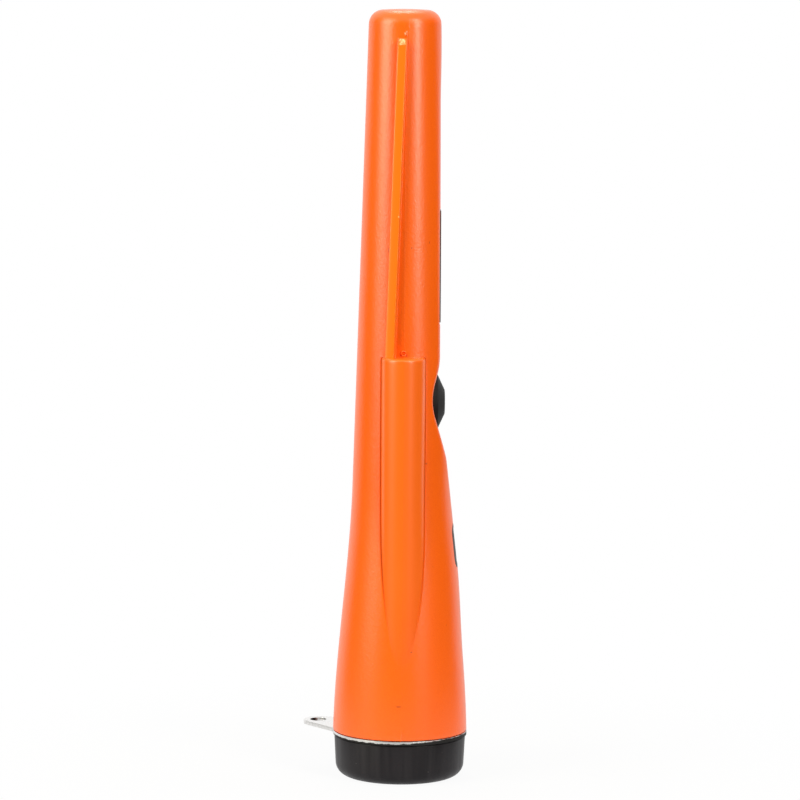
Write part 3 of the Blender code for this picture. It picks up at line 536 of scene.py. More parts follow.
orange, inputs, start = new_finish("moulded_orange", Specular_IOR_Level=0.58)
polish, crest, trimmed, groove = raised_parts(start)
cloud = noise(start, 0.018, 3.0, (1.0, 1.0, 3.0))
grain = noise(start, ORANGE_GRAIN, 2.0)
fine = noise(start, ORANGE_FINE_GRAIN, 1.0)
tone = (cloud * 0.6 + grain * 0.4).mix(ORANGE, ORANGE_DEEP)
tone = (fine.slope(0.35, 0.65) * 0.3).mix(tone, ORANGE_PIT)
# Painted sheen: the bulges and the blade are painted a little paler.
tone = polish.mix(tone, ORANGE_POLISHED_WITH_SHEEN)
tone = crest.mix(tone, ORANGE_THIN)
# Painted highlight: the slanted cut end of the blade is painted pale cream, for the light from above.
tone = (trimmed * (grain.slope(0.40, 0.58) * 0.7 + 0.2)).mix(tone, ORANGE_NICK_AND_HIGHLIGHT)
# Painted shade: the groove round the foot of the bulge is darkened in colour.
tone = (groove * cloud.slope(0.1, 0.6)).mix(tone, GROOVE_PAINTED_SHADE)
tone = marks(start, NICKS).mix(tone, ORANGE_NICK_AND_HIGHLIGHT)
# Dust specks and marks, with painted shade beside the pip.
spots = specks(start, 0.0065, 0.03) * 0.4 + marks(start, MARKS_AND_PIP_SHADE) * 0.65
feed(inputs, "Base Color", spots.mix(tone, ORANGE_MARK_AND_SHADE))
feed(inputs, "Roughness", 0.28 + grain * 0.08)
feed(inputs, "Normal", ((1.0 - polish) * (grain * 0.8 + fine * 0.4)).bump(0.00015, 0.42))
print("finish:", orange.name)

# %% [markdown]
# The screw cap is black plastic with a softer sheen, handled more than the rest. Long faint pale
# streaks are painted down it as painted sheen, and dust shows as pale specks.

# %% Black cap plastic
BLACK = (0.0080, 0.0064, 0.0084)
# Worn tone, and the painted sheen of the streaks.
BLACK_WORN_AND_SHEEN = (0.0240, 0.0212, 0.0250)
BLACK_DUST = (0.16, 0.15, 0.15)

black, inputs, start = new_finish("black_cap_plastic", Specular_IOR_Level=0.20)
streak = noise(start, 0.0024, 2.0, (1.0, 1.0, 20.0)).slope(0.3, 0.7)
grain = noise(start, 0.0003, 1.0)
dust = specks(start, 0.0030, 0.05)
# Painted sheen: the streaks lighten the black in long bands.
tone = (streak * 0.6 + grain * 0.2).mix(BLACK, BLACK_WORN_AND_SHEEN)
feed(inputs, "Base Color", (dust * 0.6).mix(tone, BLACK_DUST))
feed(inputs, "Roughness", 0.30 + streak * 0.16 + grain * 0.06)
feed(inputs, "Normal", (grain * 0.5 + streak).bump(0.00003, 0.5))
print("finish:", black.name)

# %% [markdown]
# The lanyard ring is stamped from sheet steel. The faces keep the fine rolling lines of the
# sheet. A sheared edge has two zones: the punch burnishes the upper part bright, and the lower
# part breaks off rough. That lower zone and the wall of the ear's hole are painted nearly black:
# painted shade under the cap's lip, and a painted dark reflection in the hole.

# %% Stamped steel
STEEL = (0.91, 0.90, 0.89)
STEEL_DULL = (0.64, 0.625, 0.61)
# Painted shade for the lower edge zone and the ear's hole.
STEEL_PAINTED_SHADE = (0.035, 0.033, 0.033)
DARK_ZONE_LOW = 0.00055
DARK_ZONE_HIGH = 0.0011
DARK_ZONE_RAGGED = 0.0007
# Ends of ramps: towards the front, over the dark zone, off the ear, round its hole, along the ear.
RISE_ENDS = (0.0, 0.012)
DARK_ZONE_ENDS = (0.00008, -0.00008)
OFF_EAR_ENDS = (-0.0004, 0.0008)
HOLE_ENDS = (0.00022, 0.00008)
HOLE_SIDE_ENDS = (-0.0002, -0.0010)
EAR_RADIUS = 0.0045
EAR_HOLE_RADIUS = 0.0024
EAR_SWING = radians(31)
ear_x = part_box("lanyard_ring")[0].x + EAR_RADIUS
ear_place = (ear_x, -ear_x * tan(EAR_SWING), 0.0)


def rough_zone_and_shade(start):
    """The rough lower zone of the ring's sheared edge and the wall of the ear's hole, both painted shade.
    """
    place = object_place(start)
    x, z = place.axis("X"), place.axis("Z")
    rise = x.slope(*RISE_ENDS) * (DARK_ZONE_HIGH - DARK_ZONE_LOW) + DARK_ZONE_LOW
    ragged = (noise(start, 0.0012, 3.0) - 0.5) * DARK_ZONE_RAGGED
    low = (z - (rise + ragged + z_cap_top)).slope(*DARK_ZONE_ENDS)
    low = low * x.slope(*OFF_EAR_ENDS, -rim_radius)
    apart = place.vector("MULTIPLY", (1.0, 1.0, 0.0)).vector("DISTANCE", ear_place)
    hole = apart.slope(*HOLE_ENDS, EAR_HOLE_RADIUS) * x.slope(*HOLE_SIDE_ENDS, ear_x)
    return start.math("MAXIMUM", low, hole)


steel, inputs, start = new_finish("stamped_steel", Metallic=1.0)
rolled = noise(start, 0.0007, 2.0, (18.0, 1.0, 1.0))
shear = noise(start, 0.0009, 3.0, (1.0, 1.0, 6.0))
stain = noise(start, 0.006, 2.0)
flat = abs(start.add("NewGeometry", result="Normal").axis("Z"))
wear = flat * rolled * 0.5 + (1.0 - flat) * shear
rough_and_shade = rough_zone_and_shade(start)
tone = (wear * 0.7 + stain * 0.2).mix(STEEL, STEEL_DULL)
# Painted shade: the lower zone of the edge and the hole's wall are painted nearly black.
feed(inputs, "Base Color", rough_and_shade.mix(tone, STEEL_PAINTED_SHADE))
feed(inputs, "Roughness", 0.16 + wear * 0.26 + stain * 0.08 + rough_and_shade * 0.3)
feed(inputs, "Normal", wear.bump(0.00003, 0.6))
print("finish:", steel.name)

# %% [markdown]
# The remaining finishes differ only in colour, sheen and grain, so one function makes them:
# a colour that wanders to a second one, a roughness with a small spread, and a grain as bump.

# %% Plain finishes from one recipe
def grained_finish(name, first, second, rough, spread, grain, depth, **constants):
    """A colour that drifts between two shades, with grain of the given size and depth."""
    finish, inputs, start = new_finish(name, **constants)
    cloud = noise(start, grain * 14, 2.0)
    fine = noise(start, grain, 2.0)
    feed(inputs, "Base Color", (cloud * 0.7 + fine * 0.3).mix(first, second))
    feed(inputs, "Roughness", rough + fine * spread)
    feed(inputs, "Normal", fine.bump(depth, 0.5))
    return finish


PLAIN_FINISHES = (
    # name, two colours, roughness and its spread, size and depth of the grain, constants
    ("button_rubber", (0.008, 0.007, 0.009), (0.014, 0.013, 0.014), 0.50, 0.2, 0.00035, 0.00003,
     {"Specular_IOR_Level": 0.2}),
    ("label_black", (0.016, 0.009, 0.008), (0.026, 0.015, 0.013), 0.26, 0.14, 0.0004, 0.00001, {}),
    ("cover_plastic", (0.030, 0.030, 0.033), (0.046, 0.046, 0.049), 0.38, 0.2, 0.0003, 0.00003, {}),
    ("seal_rubber", (0.17, 0.018, 0.016), (0.24, 0.03, 0.026), 0.45, 0.15, 0.0004, 0.00002, {}),
    ("foam", (0.075, 0.075, 0.08), (0.14, 0.14, 0.145), 0.85, 0.1, 0.0006, 0.0002, {}),
    ("lens_clear", (0.86, 0.90, 0.92), (0.80, 0.85, 0.88), 0.04, 0.05, 0.0006, 0.000004,
     {"Transmission_Weight": 0.85, "IOR": 1.49}),
)
plain = {name: grained_finish(name, *recipe, **constants) for name, *recipe, constants in PLAIN_FINISHES}
print("finishes:", len(bpy.data.materials))

# %% [markdown]
# With the finishes ready, the housing gets its mesh: a skin over rings of points, stacked from rim
# to tip. A clean moulding needs edge loops that follow its features. So the points of each ring
# are not spread evenly: they gather at the sides of the bulge, at both feet of the blade and at
# the witness line, and they keep their count from ring to ring.

# %% Points around one ring
LINE_OFFSETS = (-0.00025, -0.00012, -0.00005, 0.0, 0.00005, 0.00012, 0.00025)
# Counts of steps on the way round a ring.
CREASE_TO_BLADE = 12
BLADE_TO_LINE = 12
LINE_TO_CREASE = 18
BULGE_TO_BULGE = 84
HALF_FAR_BULGE = 20


def gathered(start, end, count, low=True, high=True):
    """Values between two ends, both left out, closer together at the ends that are asked for."""
    values = []
    for i in range(1, count):
        t = i / count
        if low and high:
            t = 0.5 - 0.5 * cos(pi * t)
        elif low:
            t = t * t
        elif high:
            t = 1 - (1 - t) ** 2
        values.append(start + (end - start) * t)
    return values


def blade_side_angles(z):
    """Angles over the side that faces us, from crease to crease."""
    level = max(z, z_bulge_top)
    radius = outer_radius(level)
    crease = crease_angle(level)
    blade = [asin((blade_middle(level) + s) / radius) for s, height in blade_points]
    line = [asin((line_middle(level) + s) / radius) for s in LINE_OFFSETS]
    angles = [-crease] + gathered(-crease, blade[0], CREASE_TO_BLADE, True, False) + blade
    angles += gathered(blade[-1], line[0], BLADE_TO_LINE, False, False) + line
    angles += gathered(line[-1], crease, LINE_TO_CREASE, False, True) + [crease]
    squeeze = crease_angle(z) / crease
    return [angle * squeeze for angle in angles]


def ring_angles(z):
    crease = crease_angle(z)
    angles = blade_side_angles(z) + gathered(crease, pi - crease, BULGE_TO_BULGE)
    far = range(-HALF_FAR_BULGE, HALF_FAR_BULGE + 1)
    angles += [pi + crease * sin(quarter * i / HALF_FAR_BULGE) for i in far]
    return angles + gathered(pi + crease, 2 * pi - crease, BULGE_TO_BULGE)


print("points in a ring:", len(ring_angles(z_scoop)))

# %% [markdown]
# One ring of the outside starts from the body's section. Every point is then moved out by the
# heights of bulge, blade and witness line, and in by the groove. Towards the end of the tip all
# of them fade away.

# %% One ring of the outside
TIP_ROUNDING = 0.0043


def outer_ring(z, ledge=inf, shrink=0.0, lift=0.0):
    """One ring of the outside; ledge limits the bulge's height above its top."""
    ring = []
    radius = outer_radius(z)
    fade = 1.0 - ease(lift / TIP_ROUNDING)
    for angle in ring_angles(z):
        out = Vector((sin(angle), -cos(angle), 0.0))
        near = atan2(sin(angle), cos(angle))
        facing_us = abs(near) < quarter
        aside = near if facing_us else atan2(-sin(angle), -cos(angle))
        height = min(bulge_height(aside, min(z, z_bulge_top)), ledge) - groove_depth(aside, z)
        x = radius * sin(angle)
        if facing_us:
            if z >= z_bulge_top:
                height = max(height, blade_height(x - blade_middle(z), z))
            height += witness_height(x, z)
        else:
            height += LINE_HEIGHT * exp(-((x / LINE_WIDTH) ** 2))
        point = body_point(angle, z, 0.0, shrink) + out * height * fade
        point.z = z + lift
        ring.append(point)
    return ring


print("points over the ledge:", len(outer_ring(z_bulge_top)))

# %% [markdown]
# Now the rings are stacked. Going up the outside they pass the rounded rim, the rounding on the
# bulge, its ledge, the cut end of the blade and the rounded tip. They lie close together where
# the shape turns quickly, and further apart along the plain barrel.

# %% Rings of the outside
RIM_ROUNDING = 0.0003
TIP_DOME = 0.0002
ROW_STEP = 0.0011
FINE_STEP = 0.0002
LEDGE_ROWS = (0.0004, 0.00005)
OVER_LEDGE_ROWS = (0.0016, 0.0003)


def steps(start, end, step):
    count = max(1, round((end - start) / step))
    return [start + (end - start) * i / count for i in range(count)]


rim_start = z_rim + RIM_ROUNDING
tip_start = z_tip - TIP_ROUNDING
z_ledge = z_bulge_top + LEDGE_FILLET
fine_low = z_blade_cut - 2 * FINE_STEP
fine_high = z_blade_top + 12 * FINE_STEP
levels = steps(z_ledge, z_ledge + LEDGE_ROWS[0], LEDGE_ROWS[1])[1:]
levels += steps(z_ledge + LEDGE_ROWS[0], z_ledge + OVER_LEDGE_ROWS[0], OVER_LEDGE_ROWS[1])
levels += steps(z_ledge + OVER_LEDGE_ROWS[0], fine_low, ROW_STEP)
levels += steps(fine_low, fine_high, FINE_STEP) + steps(fine_high, tip_start, ROW_STEP)

rim = [(RIM_ROUNDING * (1 - c), -RIM_ROUNDING * s) for s, c in bend(6)[:0:-1]]
outside = [outer_ring(rim_start, inf, shrink, lift) for shrink, lift in rim]
outside += [outer_ring(z) for z in steps(rim_start, z_bulge_top - BULGE_EDGE, ROW_STEP)]
outside += [outer_ring(z_bulge_top - BULGE_EDGE * (1 - s)) for s, c in bend(8)]
outside += [outer_ring(z_bulge_top + LEDGE_FILLET * (1 - c), LEDGE_FILLET * (1 - s)) for s, c in bend(8)]
outside += [outer_ring(z, 0.0) for z in levels]
outside += [outer_ring(tip_start, 0.0, TIP_ROUNDING * (1 - c), TIP_ROUNDING * s) for s, c in bend(12)]
flat_top = outside[-1]
for share in (0.85, 0.65, 0.45, 0.25, 0.1):
    dome = TIP_DOME * (1 - share**2)
    outside.append([Vector((p.x * share, p.y * share, z_tip + dome)) for p in flat_top])
print("rings outside:", len(outside))

# %% [markdown]
# The inside follows at a wall's thickness, so that the shell is as hollow as the real one. At the
# bottom are the seat of the seal and the bore for the cap's collar. Over them the chamber is kept
# wide enough for the corners of a 9 volt battery.

# %% Rings of the inside
WALL = 0.0020
GAP = 0.0003
SEAL_ROOM = 0.0002
THREAD_ROOM = 0.0004
COLLAR_WALL = 0.0015
COLLAR_ROOM = 0.0006
BATTERY_HALF = (0.0131, 0.0086)
BATTERY_CORNER = 0.0025
CHAMBER_LENGTH = 0.025
INNER_STEP = 0.003
seal_low, seal_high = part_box("cap_seal")
z_seal_seat = seal_high.z + SEAL_ROOM
seal_seat_radius = seal_high.x + SEAL_ROOM
chamber_radius = hypot(*(half - BATTERY_CORNER for half in BATTERY_HALF)) + BATTERY_CORNER + GAP
spigot_radius = chamber_radius + COLLAR_WALL
bore_radius = spigot_radius + THREAD_ROOM
z_thread_top = z_spigot + COLLAR_ROOM


def round_ring(radius, z):
    return [Vector((radius * sin(a), -radius * cos(a), z)) for a in ring_angles(z_rim)]


def inner_ring(z, shrink=0.0, lift=0.0):
    ring = []
    for angle in ring_angles(z_rim):
        point = body_point(angle, z, WALL, shrink)
        room = hypot(point.x, point.y)
        if z < z_thread_top + CHAMBER_LENGTH and room < chamber_radius:
            point *= chamber_radius / room
        point.z = z + lift
        ring.append(point)
    return ring


inside = [round_ring(seal_seat_radius, z_rim), round_ring(seal_seat_radius, z_seal_seat)]
inside += [round_ring(bore_radius, z_seal_seat), round_ring(bore_radius, z_thread_top)]
inside += [inner_ring(z) for z in steps(z_thread_top, tip_start, INNER_STEP)]
inner_rounding = TIP_ROUNDING - WALL
inside += [inner_ring(tip_start, inner_rounding * (1 - c), inner_rounding * s) for s, c in bend(5)]
print("rings inside:", len(inside))

# %% [markdown]
# The rings become a mesh: a skin of quads over rows of points. It could be modelled by hand, but
# rows that come from formulas can be changed later by one number. The mesh is then tidied:
# doubles merged, faces turned outwards, and shaded smooth except over sharp edges.

# %% Skin over the rings
WELD = 0.000002


def smoothed(mesh, sharp=35.0):
    """The mesh shaded smooth, except over edges that turn by more than the given degrees."""
    mesh.shade_smooth()
    mesh.set_sharp_from_angle(angle=radians(sharp))
    return mesh


def mesh_of(name, shape):
    """The mesh of a bmesh, with doubles merged and faces turned outwards."""
    bmesh.ops.remove_doubles(shape, verts=shape.verts, dist=WELD)
    bmesh.ops.recalc_face_normals(shape, faces=shape.faces)
    mesh = bpy.data.meshes.new(name)
    shape.to_mesh(mesh)
    shape.free()
    return mesh


def quads(shape, rows, closed):
    """Lay quads over rows of points with equal counts, all the way round if closed."""
    layers = [[shape.verts.new(point) for point in row] for row in rows]
    for lower, upper in zip(layers, layers[1:]):
        for i in range(-1 if closed else 0, len(lower) - 1):
            shape.faces.new((lower[i], lower[i + 1], upper[i + 1], upper[i]))
    return layers


def skin(name, rings):
    """A closed mesh over a row of rings; both end rings are filled."""
    shape = bmesh.new()
    layers = quads(shape, rings, True)
    shape.faces.new(layers[0])
    shape.faces.new(layers[-1])
    return smoothed(mesh_of(name, shape))


uncut_mesh = skin("housing_shell", outside[::-1] + inside)
print("faces of the uncut shell:", len(uncut_mesh.polygons))

# %% [markdown]
# Flat pieces and cutters start as 2D curves, because a filled curve may have any outline and any
# number of holes. Modifiers then do the rest, and each result is taken as a plain mesh.

# %% Shapes with flat ends
def placed(name, data):
    obj = bpy.data.objects.new(name, data)
    bpy.context.scene.collection.objects.link(obj)
    return obj


def ready_mesh(obj):
    """The mesh that an object shows after its modifiers; the object itself is dropped."""
    ready = obj.evaluated_get(bpy.context.evaluated_depsgraph_get())
    mesh = bpy.data.meshes.new_from_object(ready)
    bpy.data.objects.remove(obj)
    return mesh


def flat_shape(outlines, low, high, place=Matrix()):
    """A mesh with flat ends from closed 2D outlines: the first is the edge, others are holes."""
    curve = bpy.data.curves.new("outline", "CURVE")
    curve.dimensions = "2D"
    curve.fill_mode = "BOTH"
    curve.extrude = (high - low) / 2
    for outline in outlines:
        spline = curve.splines.new("POLY")
        spline.points.add(len(outline) - 1)
        spline.use_cyclic_u = True
        for point, (x, y) in zip(spline.points, outline):
            point.co = (x, y, 0.0, 1.0)
    shape = bmesh.new()
    shape.from_mesh(ready_mesh(placed("outline", curve)))
    bmesh.ops.translate(shape, verts=shape.verts, vec=(0.0, 0.0, (low + high) / 2))
    mesh = mesh_of("outline", shape)
    mesh.transform(place)
    return mesh


def arc(radius, start, end, count, centre=(0.0, 0.0)):
    turns = [start + (end - start) * i / count for i in range(count + 1)]
    return [(centre[0] + radius * cos(t), centre[1] + radius * sin(t)) for t in turns]


def round_outline(radius, count, centre=(0.0, 0.0)):
    return arc(radius, 0.0, 2 * pi, count, centre)[:-1]


def rounded_rectangle(half_x, half_y, corner, count=6):
    points = []
    for k, (sx, sy) in enumerate(((1, 1), (-1, 1), (-1, -1), (1, -1))):
        centre = (sx * (half_x - corner), sy * (half_y - corner))
        points += arc(corner, quarter * k, quarter * (k + 1), count, centre)
    return points


def modified(mesh, *changes):
    """The mesh after some modifiers, each given as its type and its settings."""
    holder = placed("holder", mesh)
    for kind, settings in changes:
        modifier = holder.modifiers.new(kind.lower(), kind)
        for name, value in settings.items():
            setattr(modifier, name, value)
    return ready_mesh(holder)


print("points in a rounded rectangle:", len(rounded_rectangle(2.0, 1.0, 0.5)))

# %% [markdown]
# Each opening in the front leans at its own angle: the label's shallow seat, the round hole of
# the button, the lamp's window and the seat of the speaker. A matrix for each says where it is.
# The places come from the boxes of the nodes that sit there.

# %% Places of the openings
LABEL_DEPTH = 0.0006
LABEL_CORNER = 0.0007
LABEL_STEP = 0.00022
LABEL_STEP_HALF = 0.0090
BUTTON_FLANGE = 0.0010
LENS_RADIUS = 0.0017
LENS_GAP = 0.0027
SPEAKER_HALF = (0.0069, 0.0050)
SPEAKER_CORNER = 0.0034
SPEAKER_DEPTH = 0.0024
SPEAKER_LEDGE = 0.0015
MEMBRANE_MIDDLE = 0.00035


def middle_of(node):
    low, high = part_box(node)
    return (low + high) / 2


def leaning(x, z, lean):
    """A frame whose Z axis points out of the front, tipped up by the given angle."""
    return Matrix.Translation((x, 0.0, z)) @ Matrix.Rotation(quarter - lean, 4, "Y")


def front_frame(z, half, surface=front_x):
    """A frame on the front of the body that leans with it between two levels."""
    fall = surface(z - half) - surface(z + half)
    return leaning(surface(z), z, atan2(fall, 2 * half))


def speaker_outline(inset, share=1.0):
    half_x, half_y = (half - inset for half in SPEAKER_HALF)
    points = rounded_rectangle(half_x, half_y, SPEAKER_CORNER - inset, 10)
    return [(x * share, y * share) for x, y in points]


z_label = middle_of("label_plate").z
label_low, label_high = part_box("label_plate")
label_half = ((label_high.z - label_low.z) / 2, label_high.y)
label_frame = front_frame(z_label, label_half[0], facet)
button_radius = button_high.y - BUTTON_FLANGE
button_frame = leaning(0.0, z_button, 0.0)
lens_frame = front_frame(z_button - button_high.y - LENS_GAP, LENS_RADIUS)
z_speaker = middle_of("speaker_membrane").z
for attempt in range(3):
    speaker_frame = front_frame(z_speaker, SPEAKER_HALF[0])
    behind = speaker_frame @ Vector((0.0, 0.0, MEMBRANE_MIDDLE - SPEAKER_DEPTH))
    z_speaker += middle_of("speaker_membrane").z - behind.z
print(f"label at {z_label:.4f}, button at {z_button:.4f}, speaker at {z_speaker:.4f}")

# %% [markdown]
# The openings are cut with Booleans, because loops laid around four tilted holes would spoil the
# rings of the barrel. The exact solver keeps the rims clean.

# %% Cut the openings of the housing
BUTTON_HOLE_LOW = 0.004
LENS_HOLE_DEPTH = 0.005
SPEAKER_HOLE_DEPTH = 0.006
CUTTER_REACH = 0.012


def combined(mesh, operation, others):
    """The mesh after Boolean steps with some other meshes."""
    objects = [placed("other", other) for other in others]
    how = {"operation": operation, "solver": "EXACT"}
    result = modified(mesh, *[("BOOLEAN", {**how, "object": obj}) for obj in objects])
    for obj in objects:
        bpy.data.objects.remove(obj)
    return smoothed(result, 30.0)


seat_outline = rounded_rectangle(label_half[0] + GAP, label_half[1] + GAP, LABEL_CORNER)
step_outline = rounded_rectangle(label_half[0] + 2 * GAP, LABEL_STEP_HALF, LABEL_CORNER)
openings = (
    (label_frame, step_outline, -LABEL_STEP),
    (label_frame, seat_outline, -LABEL_DEPTH),
    (button_frame, round_outline(button_radius + GAP, 96), BUTTON_HOLE_LOW),
    (lens_frame, round_outline(LENS_RADIUS + GAP, 48), -LENS_HOLE_DEPTH),
    (speaker_frame, speaker_outline(0.0), -SPEAKER_DEPTH),
    (speaker_frame, speaker_outline(SPEAKER_LEDGE), -SPEAKER_HOLE_DEPTH),
)
opening_cutters = []
for place, outline, low in openings:
    opening_cutters.append(flat_shape((outline,), low, max(low, 0.0) + CUTTER_REACH, place))
housing_mesh = combined(uncut_mesh, "DIFFERENCE", opening_cutters)
print("housing faces:", len(housing_mesh.polygons))

# %% [markdown]
# A dressed piece takes the place of one solid. It rides on the same body, so one function does the
# bookkeeping for all of them.

# %% Put a piece in the place of a solid
def dress(name, mesh, finish, node, place=Matrix()):
    """Add a piece that stands for a node: same body, its own finish."""
    mesh.transform(place)
    piece = placed(name, mesh)
    mesh.materials.clear()
    mesh.materials.append(finish)
    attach(piece, body_of[node])
    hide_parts(node)
    print(f"{name}: {len(mesh.polygons)} faces for {node}")
    return piece


print("bodies to ride on:", sorted(set(body_of.values())))

# %% [markdown]
# Over the ledge sits a small pip, the stub where the plastic came into the mould. It is a turned
# ring with a nib in its middle, and a Boolean union grows it onto the shell.

# %% Pip on the shell
PIP_RISE = 0.0013
PIP_PROFILE = (
    # radius, height over the barrel
    (0.0, 0.00052),
    (0.00014, 0.00048),
    (0.00022, 0.00006),
    (0.00040, 0.00004),
    (0.00054, 0.00046),
    (0.00066, 0.00056),
    (0.00078, 0.00046),
    (0.00088, 0.00014),
    (0.00090, -0.00060),
    (0.0, -0.00060),
)


def turned(name, profile, count, closed=False):
    """Spin a half profile, given as (radius, height), around the Z axis."""
    mesh = bpy.data.meshes.new(name)
    edges = [(i, i + 1) for i in range(len(profile) - 1)]
    if closed:
        edges.append((len(profile) - 1, 0))
    mesh.from_pydata([(radius, 0.0, height) for radius, height in profile], edges, [])
    spin = {"axis": "Z", "steps": count, "render_steps": count, "use_merge_vertices": True}
    return smoothed(modified(mesh, ("SCREW", {**spin, "merge_threshold": 0.00001})))


pip_z = z_bulge_top + PIP_RISE
pip_mesh = turned("pip", PIP_PROFILE, 40)
pip_place = Matrix.Translation((0.0, -outer_radius(pip_z), pip_z))
pip_mesh.transform(pip_place @ Matrix.Rotation(quarter, 4, "X"))
housing_mesh = combined(housing_mesh, "UNION", [pip_mesh])
dress("housing_shell", housing_mesh, orange, "housing")

# %% [markdown]
# The cap is a cup with a threaded collar. On the collar the radius depends on the angle, so that
# a real right-hand thread winds up it at three millimetres a turn. It shows when the cap is
# unscrewed for a new battery.

# %% Thread of the cap
THREAD_PITCH = 0.0030
THREAD_ROOT = 0.00055
THREAD_CREST = 0.00025
THREAD_FLAT = 0.14
THREAD_FLANK = 0.20
THREAD_RUNOUT = 0.0012
THREAD_LOW = 0.0006
THREAD_HIGH = 0.0008
CAP_STEPS = 144
thread_start = seal_high.z + THREAD_LOW
thread_end = z_spigot - THREAD_HIGH


def thread_height(turn, z):
    """Height of the thread over the collar: flat crests and roots with slanted flanks."""
    phase = ((z - thread_start) / THREAD_PITCH - turn / (2 * pi)) % 1.0
    wave = ease((abs(phase - 0.5) - THREAD_FLAT) / THREAD_FLANK)
    ends = ease((z - thread_start) / THREAD_RUNOUT) * ease((thread_end - z) / THREAD_RUNOUT)
    return (THREAD_CREST - (THREAD_ROOT + THREAD_CREST) * wave) * ends


def lathe_ring(radius, z, threaded=False):
    ring = []
    for i in range(CAP_STEPS):
        turn = 2 * pi * i / CAP_STEPS
        reach = radius + (thread_height(turn, z) if threaded else 0.0)
        ring.append(Vector((reach * cos(turn), reach * sin(turn), z)))
    return ring


print(f"thread from {thread_start:.4f} to {thread_end:.4f}")

# %% [markdown]
# The rest of the cap is a lathe profile, given as radius and level: up the outside from the middle
# of its foot, over the rim to the collar, and down the bore to the floor.

# %% Cap
THREAD_LEAD = 0.0002
THREAD_ROW = 0.00014
CAP_FLOOR = 0.0022
CAP_EDGE = 0.0040
CAP_TAPER = 0.0004
CAP_TOP_EDGE = 0.00025
CAP_INSET = 0.0002
COLLAR_EDGE = 0.0003
COLLAR_BORE_EDGE = 0.0002
cap_height = z_cap_top - CAP_INSET
cup_radius = cap_radius - CAP_INSET
foot_radius = cup_radius - CAP_TAPER - CAP_EDGE
cap_cup = [(foot_radius * share, 0.0) for share in (0.1, 0.5, 0.9)]
cap_cup += [(foot_radius + CAP_EDGE * s, CAP_EDGE * (1 - c)) for s, c in bend(10)]
cap_top = [(CAP_TOP_EDGE * (1 - c), CAP_TOP_EDGE * (1 - s)) for s, c in bend(4)]
cap_cup += [(cup_radius - inset, cap_height - drop) for inset, drop in cap_top]
cap_cup.append((spigot_radius, cap_height))
collar = [
    (spigot_radius, z_spigot - COLLAR_EDGE),
    (spigot_radius - COLLAR_EDGE, z_spigot),
    (chamber_radius + COLLAR_BORE_EDGE, z_spigot),
    (chamber_radius, z_spigot - COLLAR_BORE_EDGE),
    (chamber_radius, CAP_FLOOR),
    (chamber_radius * 0.5, CAP_FLOOR),
]
thread_levels = steps(thread_start - THREAD_LEAD, thread_end + THREAD_LEAD, THREAD_ROW)
cap_rings = [lathe_ring(radius, z) for radius, z in cap_cup]
cap_rings += [lathe_ring(spigot_radius, z, True) for z in thread_levels]
cap_rings += [lathe_ring(radius, z) for radius, z in collar]
dress("screw_cap", skin("screw_cap", cap_rings), black, "end_cap")

# %% [markdown]
# The seal is a rubber ring of round section. A small circle turned about the axis by the Screw
# modifier is all it takes.

# %% Seal ring
seal_half = (seal_high.z - seal_low.z) / 2
seal_profile = round_outline(seal_half, 20, (seal_high.x - seal_half, seal_low.z + seal_half))[::-1]
dress("seal_ring", turned("seal_ring", seal_profile, 120, True), plain["seal_rubber"], "cap_seal")

# %% [markdown]
# The lanyard ring is a washer with an ear, stamped in one stroke. Its outline is a flat curve of
# two arcs and the straight sides between them, and a small Bevel breaks the edges as tumbling
# does. The ear has swung away from us.

# %% Lanyard ring
EAR_FLARE = radians(22)
RING_EDGE = 0.00030


def edged(mesh, width, segments):
    edge = {"width": width, "segments": segments, "limit_method": "ANGLE", "angle_limit": radians(40)}
    return smoothed(modified(mesh, ("BEVEL", edge)))


ear_reach = -ear_x / cos(EAR_SWING)
ear_middle = (-ear_reach, 0.0)
side_turn = quarter - EAR_FLARE
side_reach = ear_reach * sin(EAR_FLARE) + EAR_RADIUS
root_turn = side_turn - acos(min(1.0, side_reach / rim_radius))
ring_outline = arc(rim_radius, root_turn - pi, pi - root_turn, 150)
ring_outline += arc(EAR_RADIUS, pi - side_turn, pi + side_turn, 40, ear_middle)
bore_outline = round_outline(spigot_radius + GAP, 120)
ear_hole = round_outline(EAR_HOLE_RADIUS, 48, ear_middle)
ring_mesh = edged(flat_shape((ring_outline, bore_outline, ear_hole), z_cap_top, z_ring_top), RING_EDGE, 5)
dress("lanyard_plate", ring_mesh, steel, "lanyard_ring", Matrix.Rotation(-EAR_SWING, 4, "Z"))

# %% [markdown]
# The button is a soft rubber cone with a flat, slightly dished top. The thumb finds it in the
# scoop without looking.

# %% Button
BUTTON_TOP_RADIUS = 0.00355
BUTTON_SINK = 0.00015
BUTTON_FOOT = 0.0016
BUTTON_FOOT_DROP = 0.00022
BUTTON_DISH = 0.00012
BUTTON_STEM_RADIUS = 0.0022
BUTTON_STEM_LENGTH = 0.0008
BUTTON_FLANGE_THICKNESS = 0.0010
TOP_ROUNDING = 0.0006
FOOT_ROUNDING = 0.0004
button_top = button_high.x - BUTTON_SINK
button_foot = scoop_floor + BUTTON_FOOT
flange_low = button_low.x + BUTTON_STEM_LENGTH
flange_front = flange_low + BUTTON_FLANGE_THICKNESS
cone_lean = atan2(button_top - button_foot, button_radius - BUTTON_TOP_RADIUS)
cone_turn = quarter - cone_lean
top_centre = (BUTTON_TOP_RADIUS - TOP_ROUNDING * tan(cone_lean / 2), button_top - TOP_ROUNDING)
foot_centre = (button_radius - FOOT_ROUNDING, button_foot - BUTTON_FOOT_DROP)
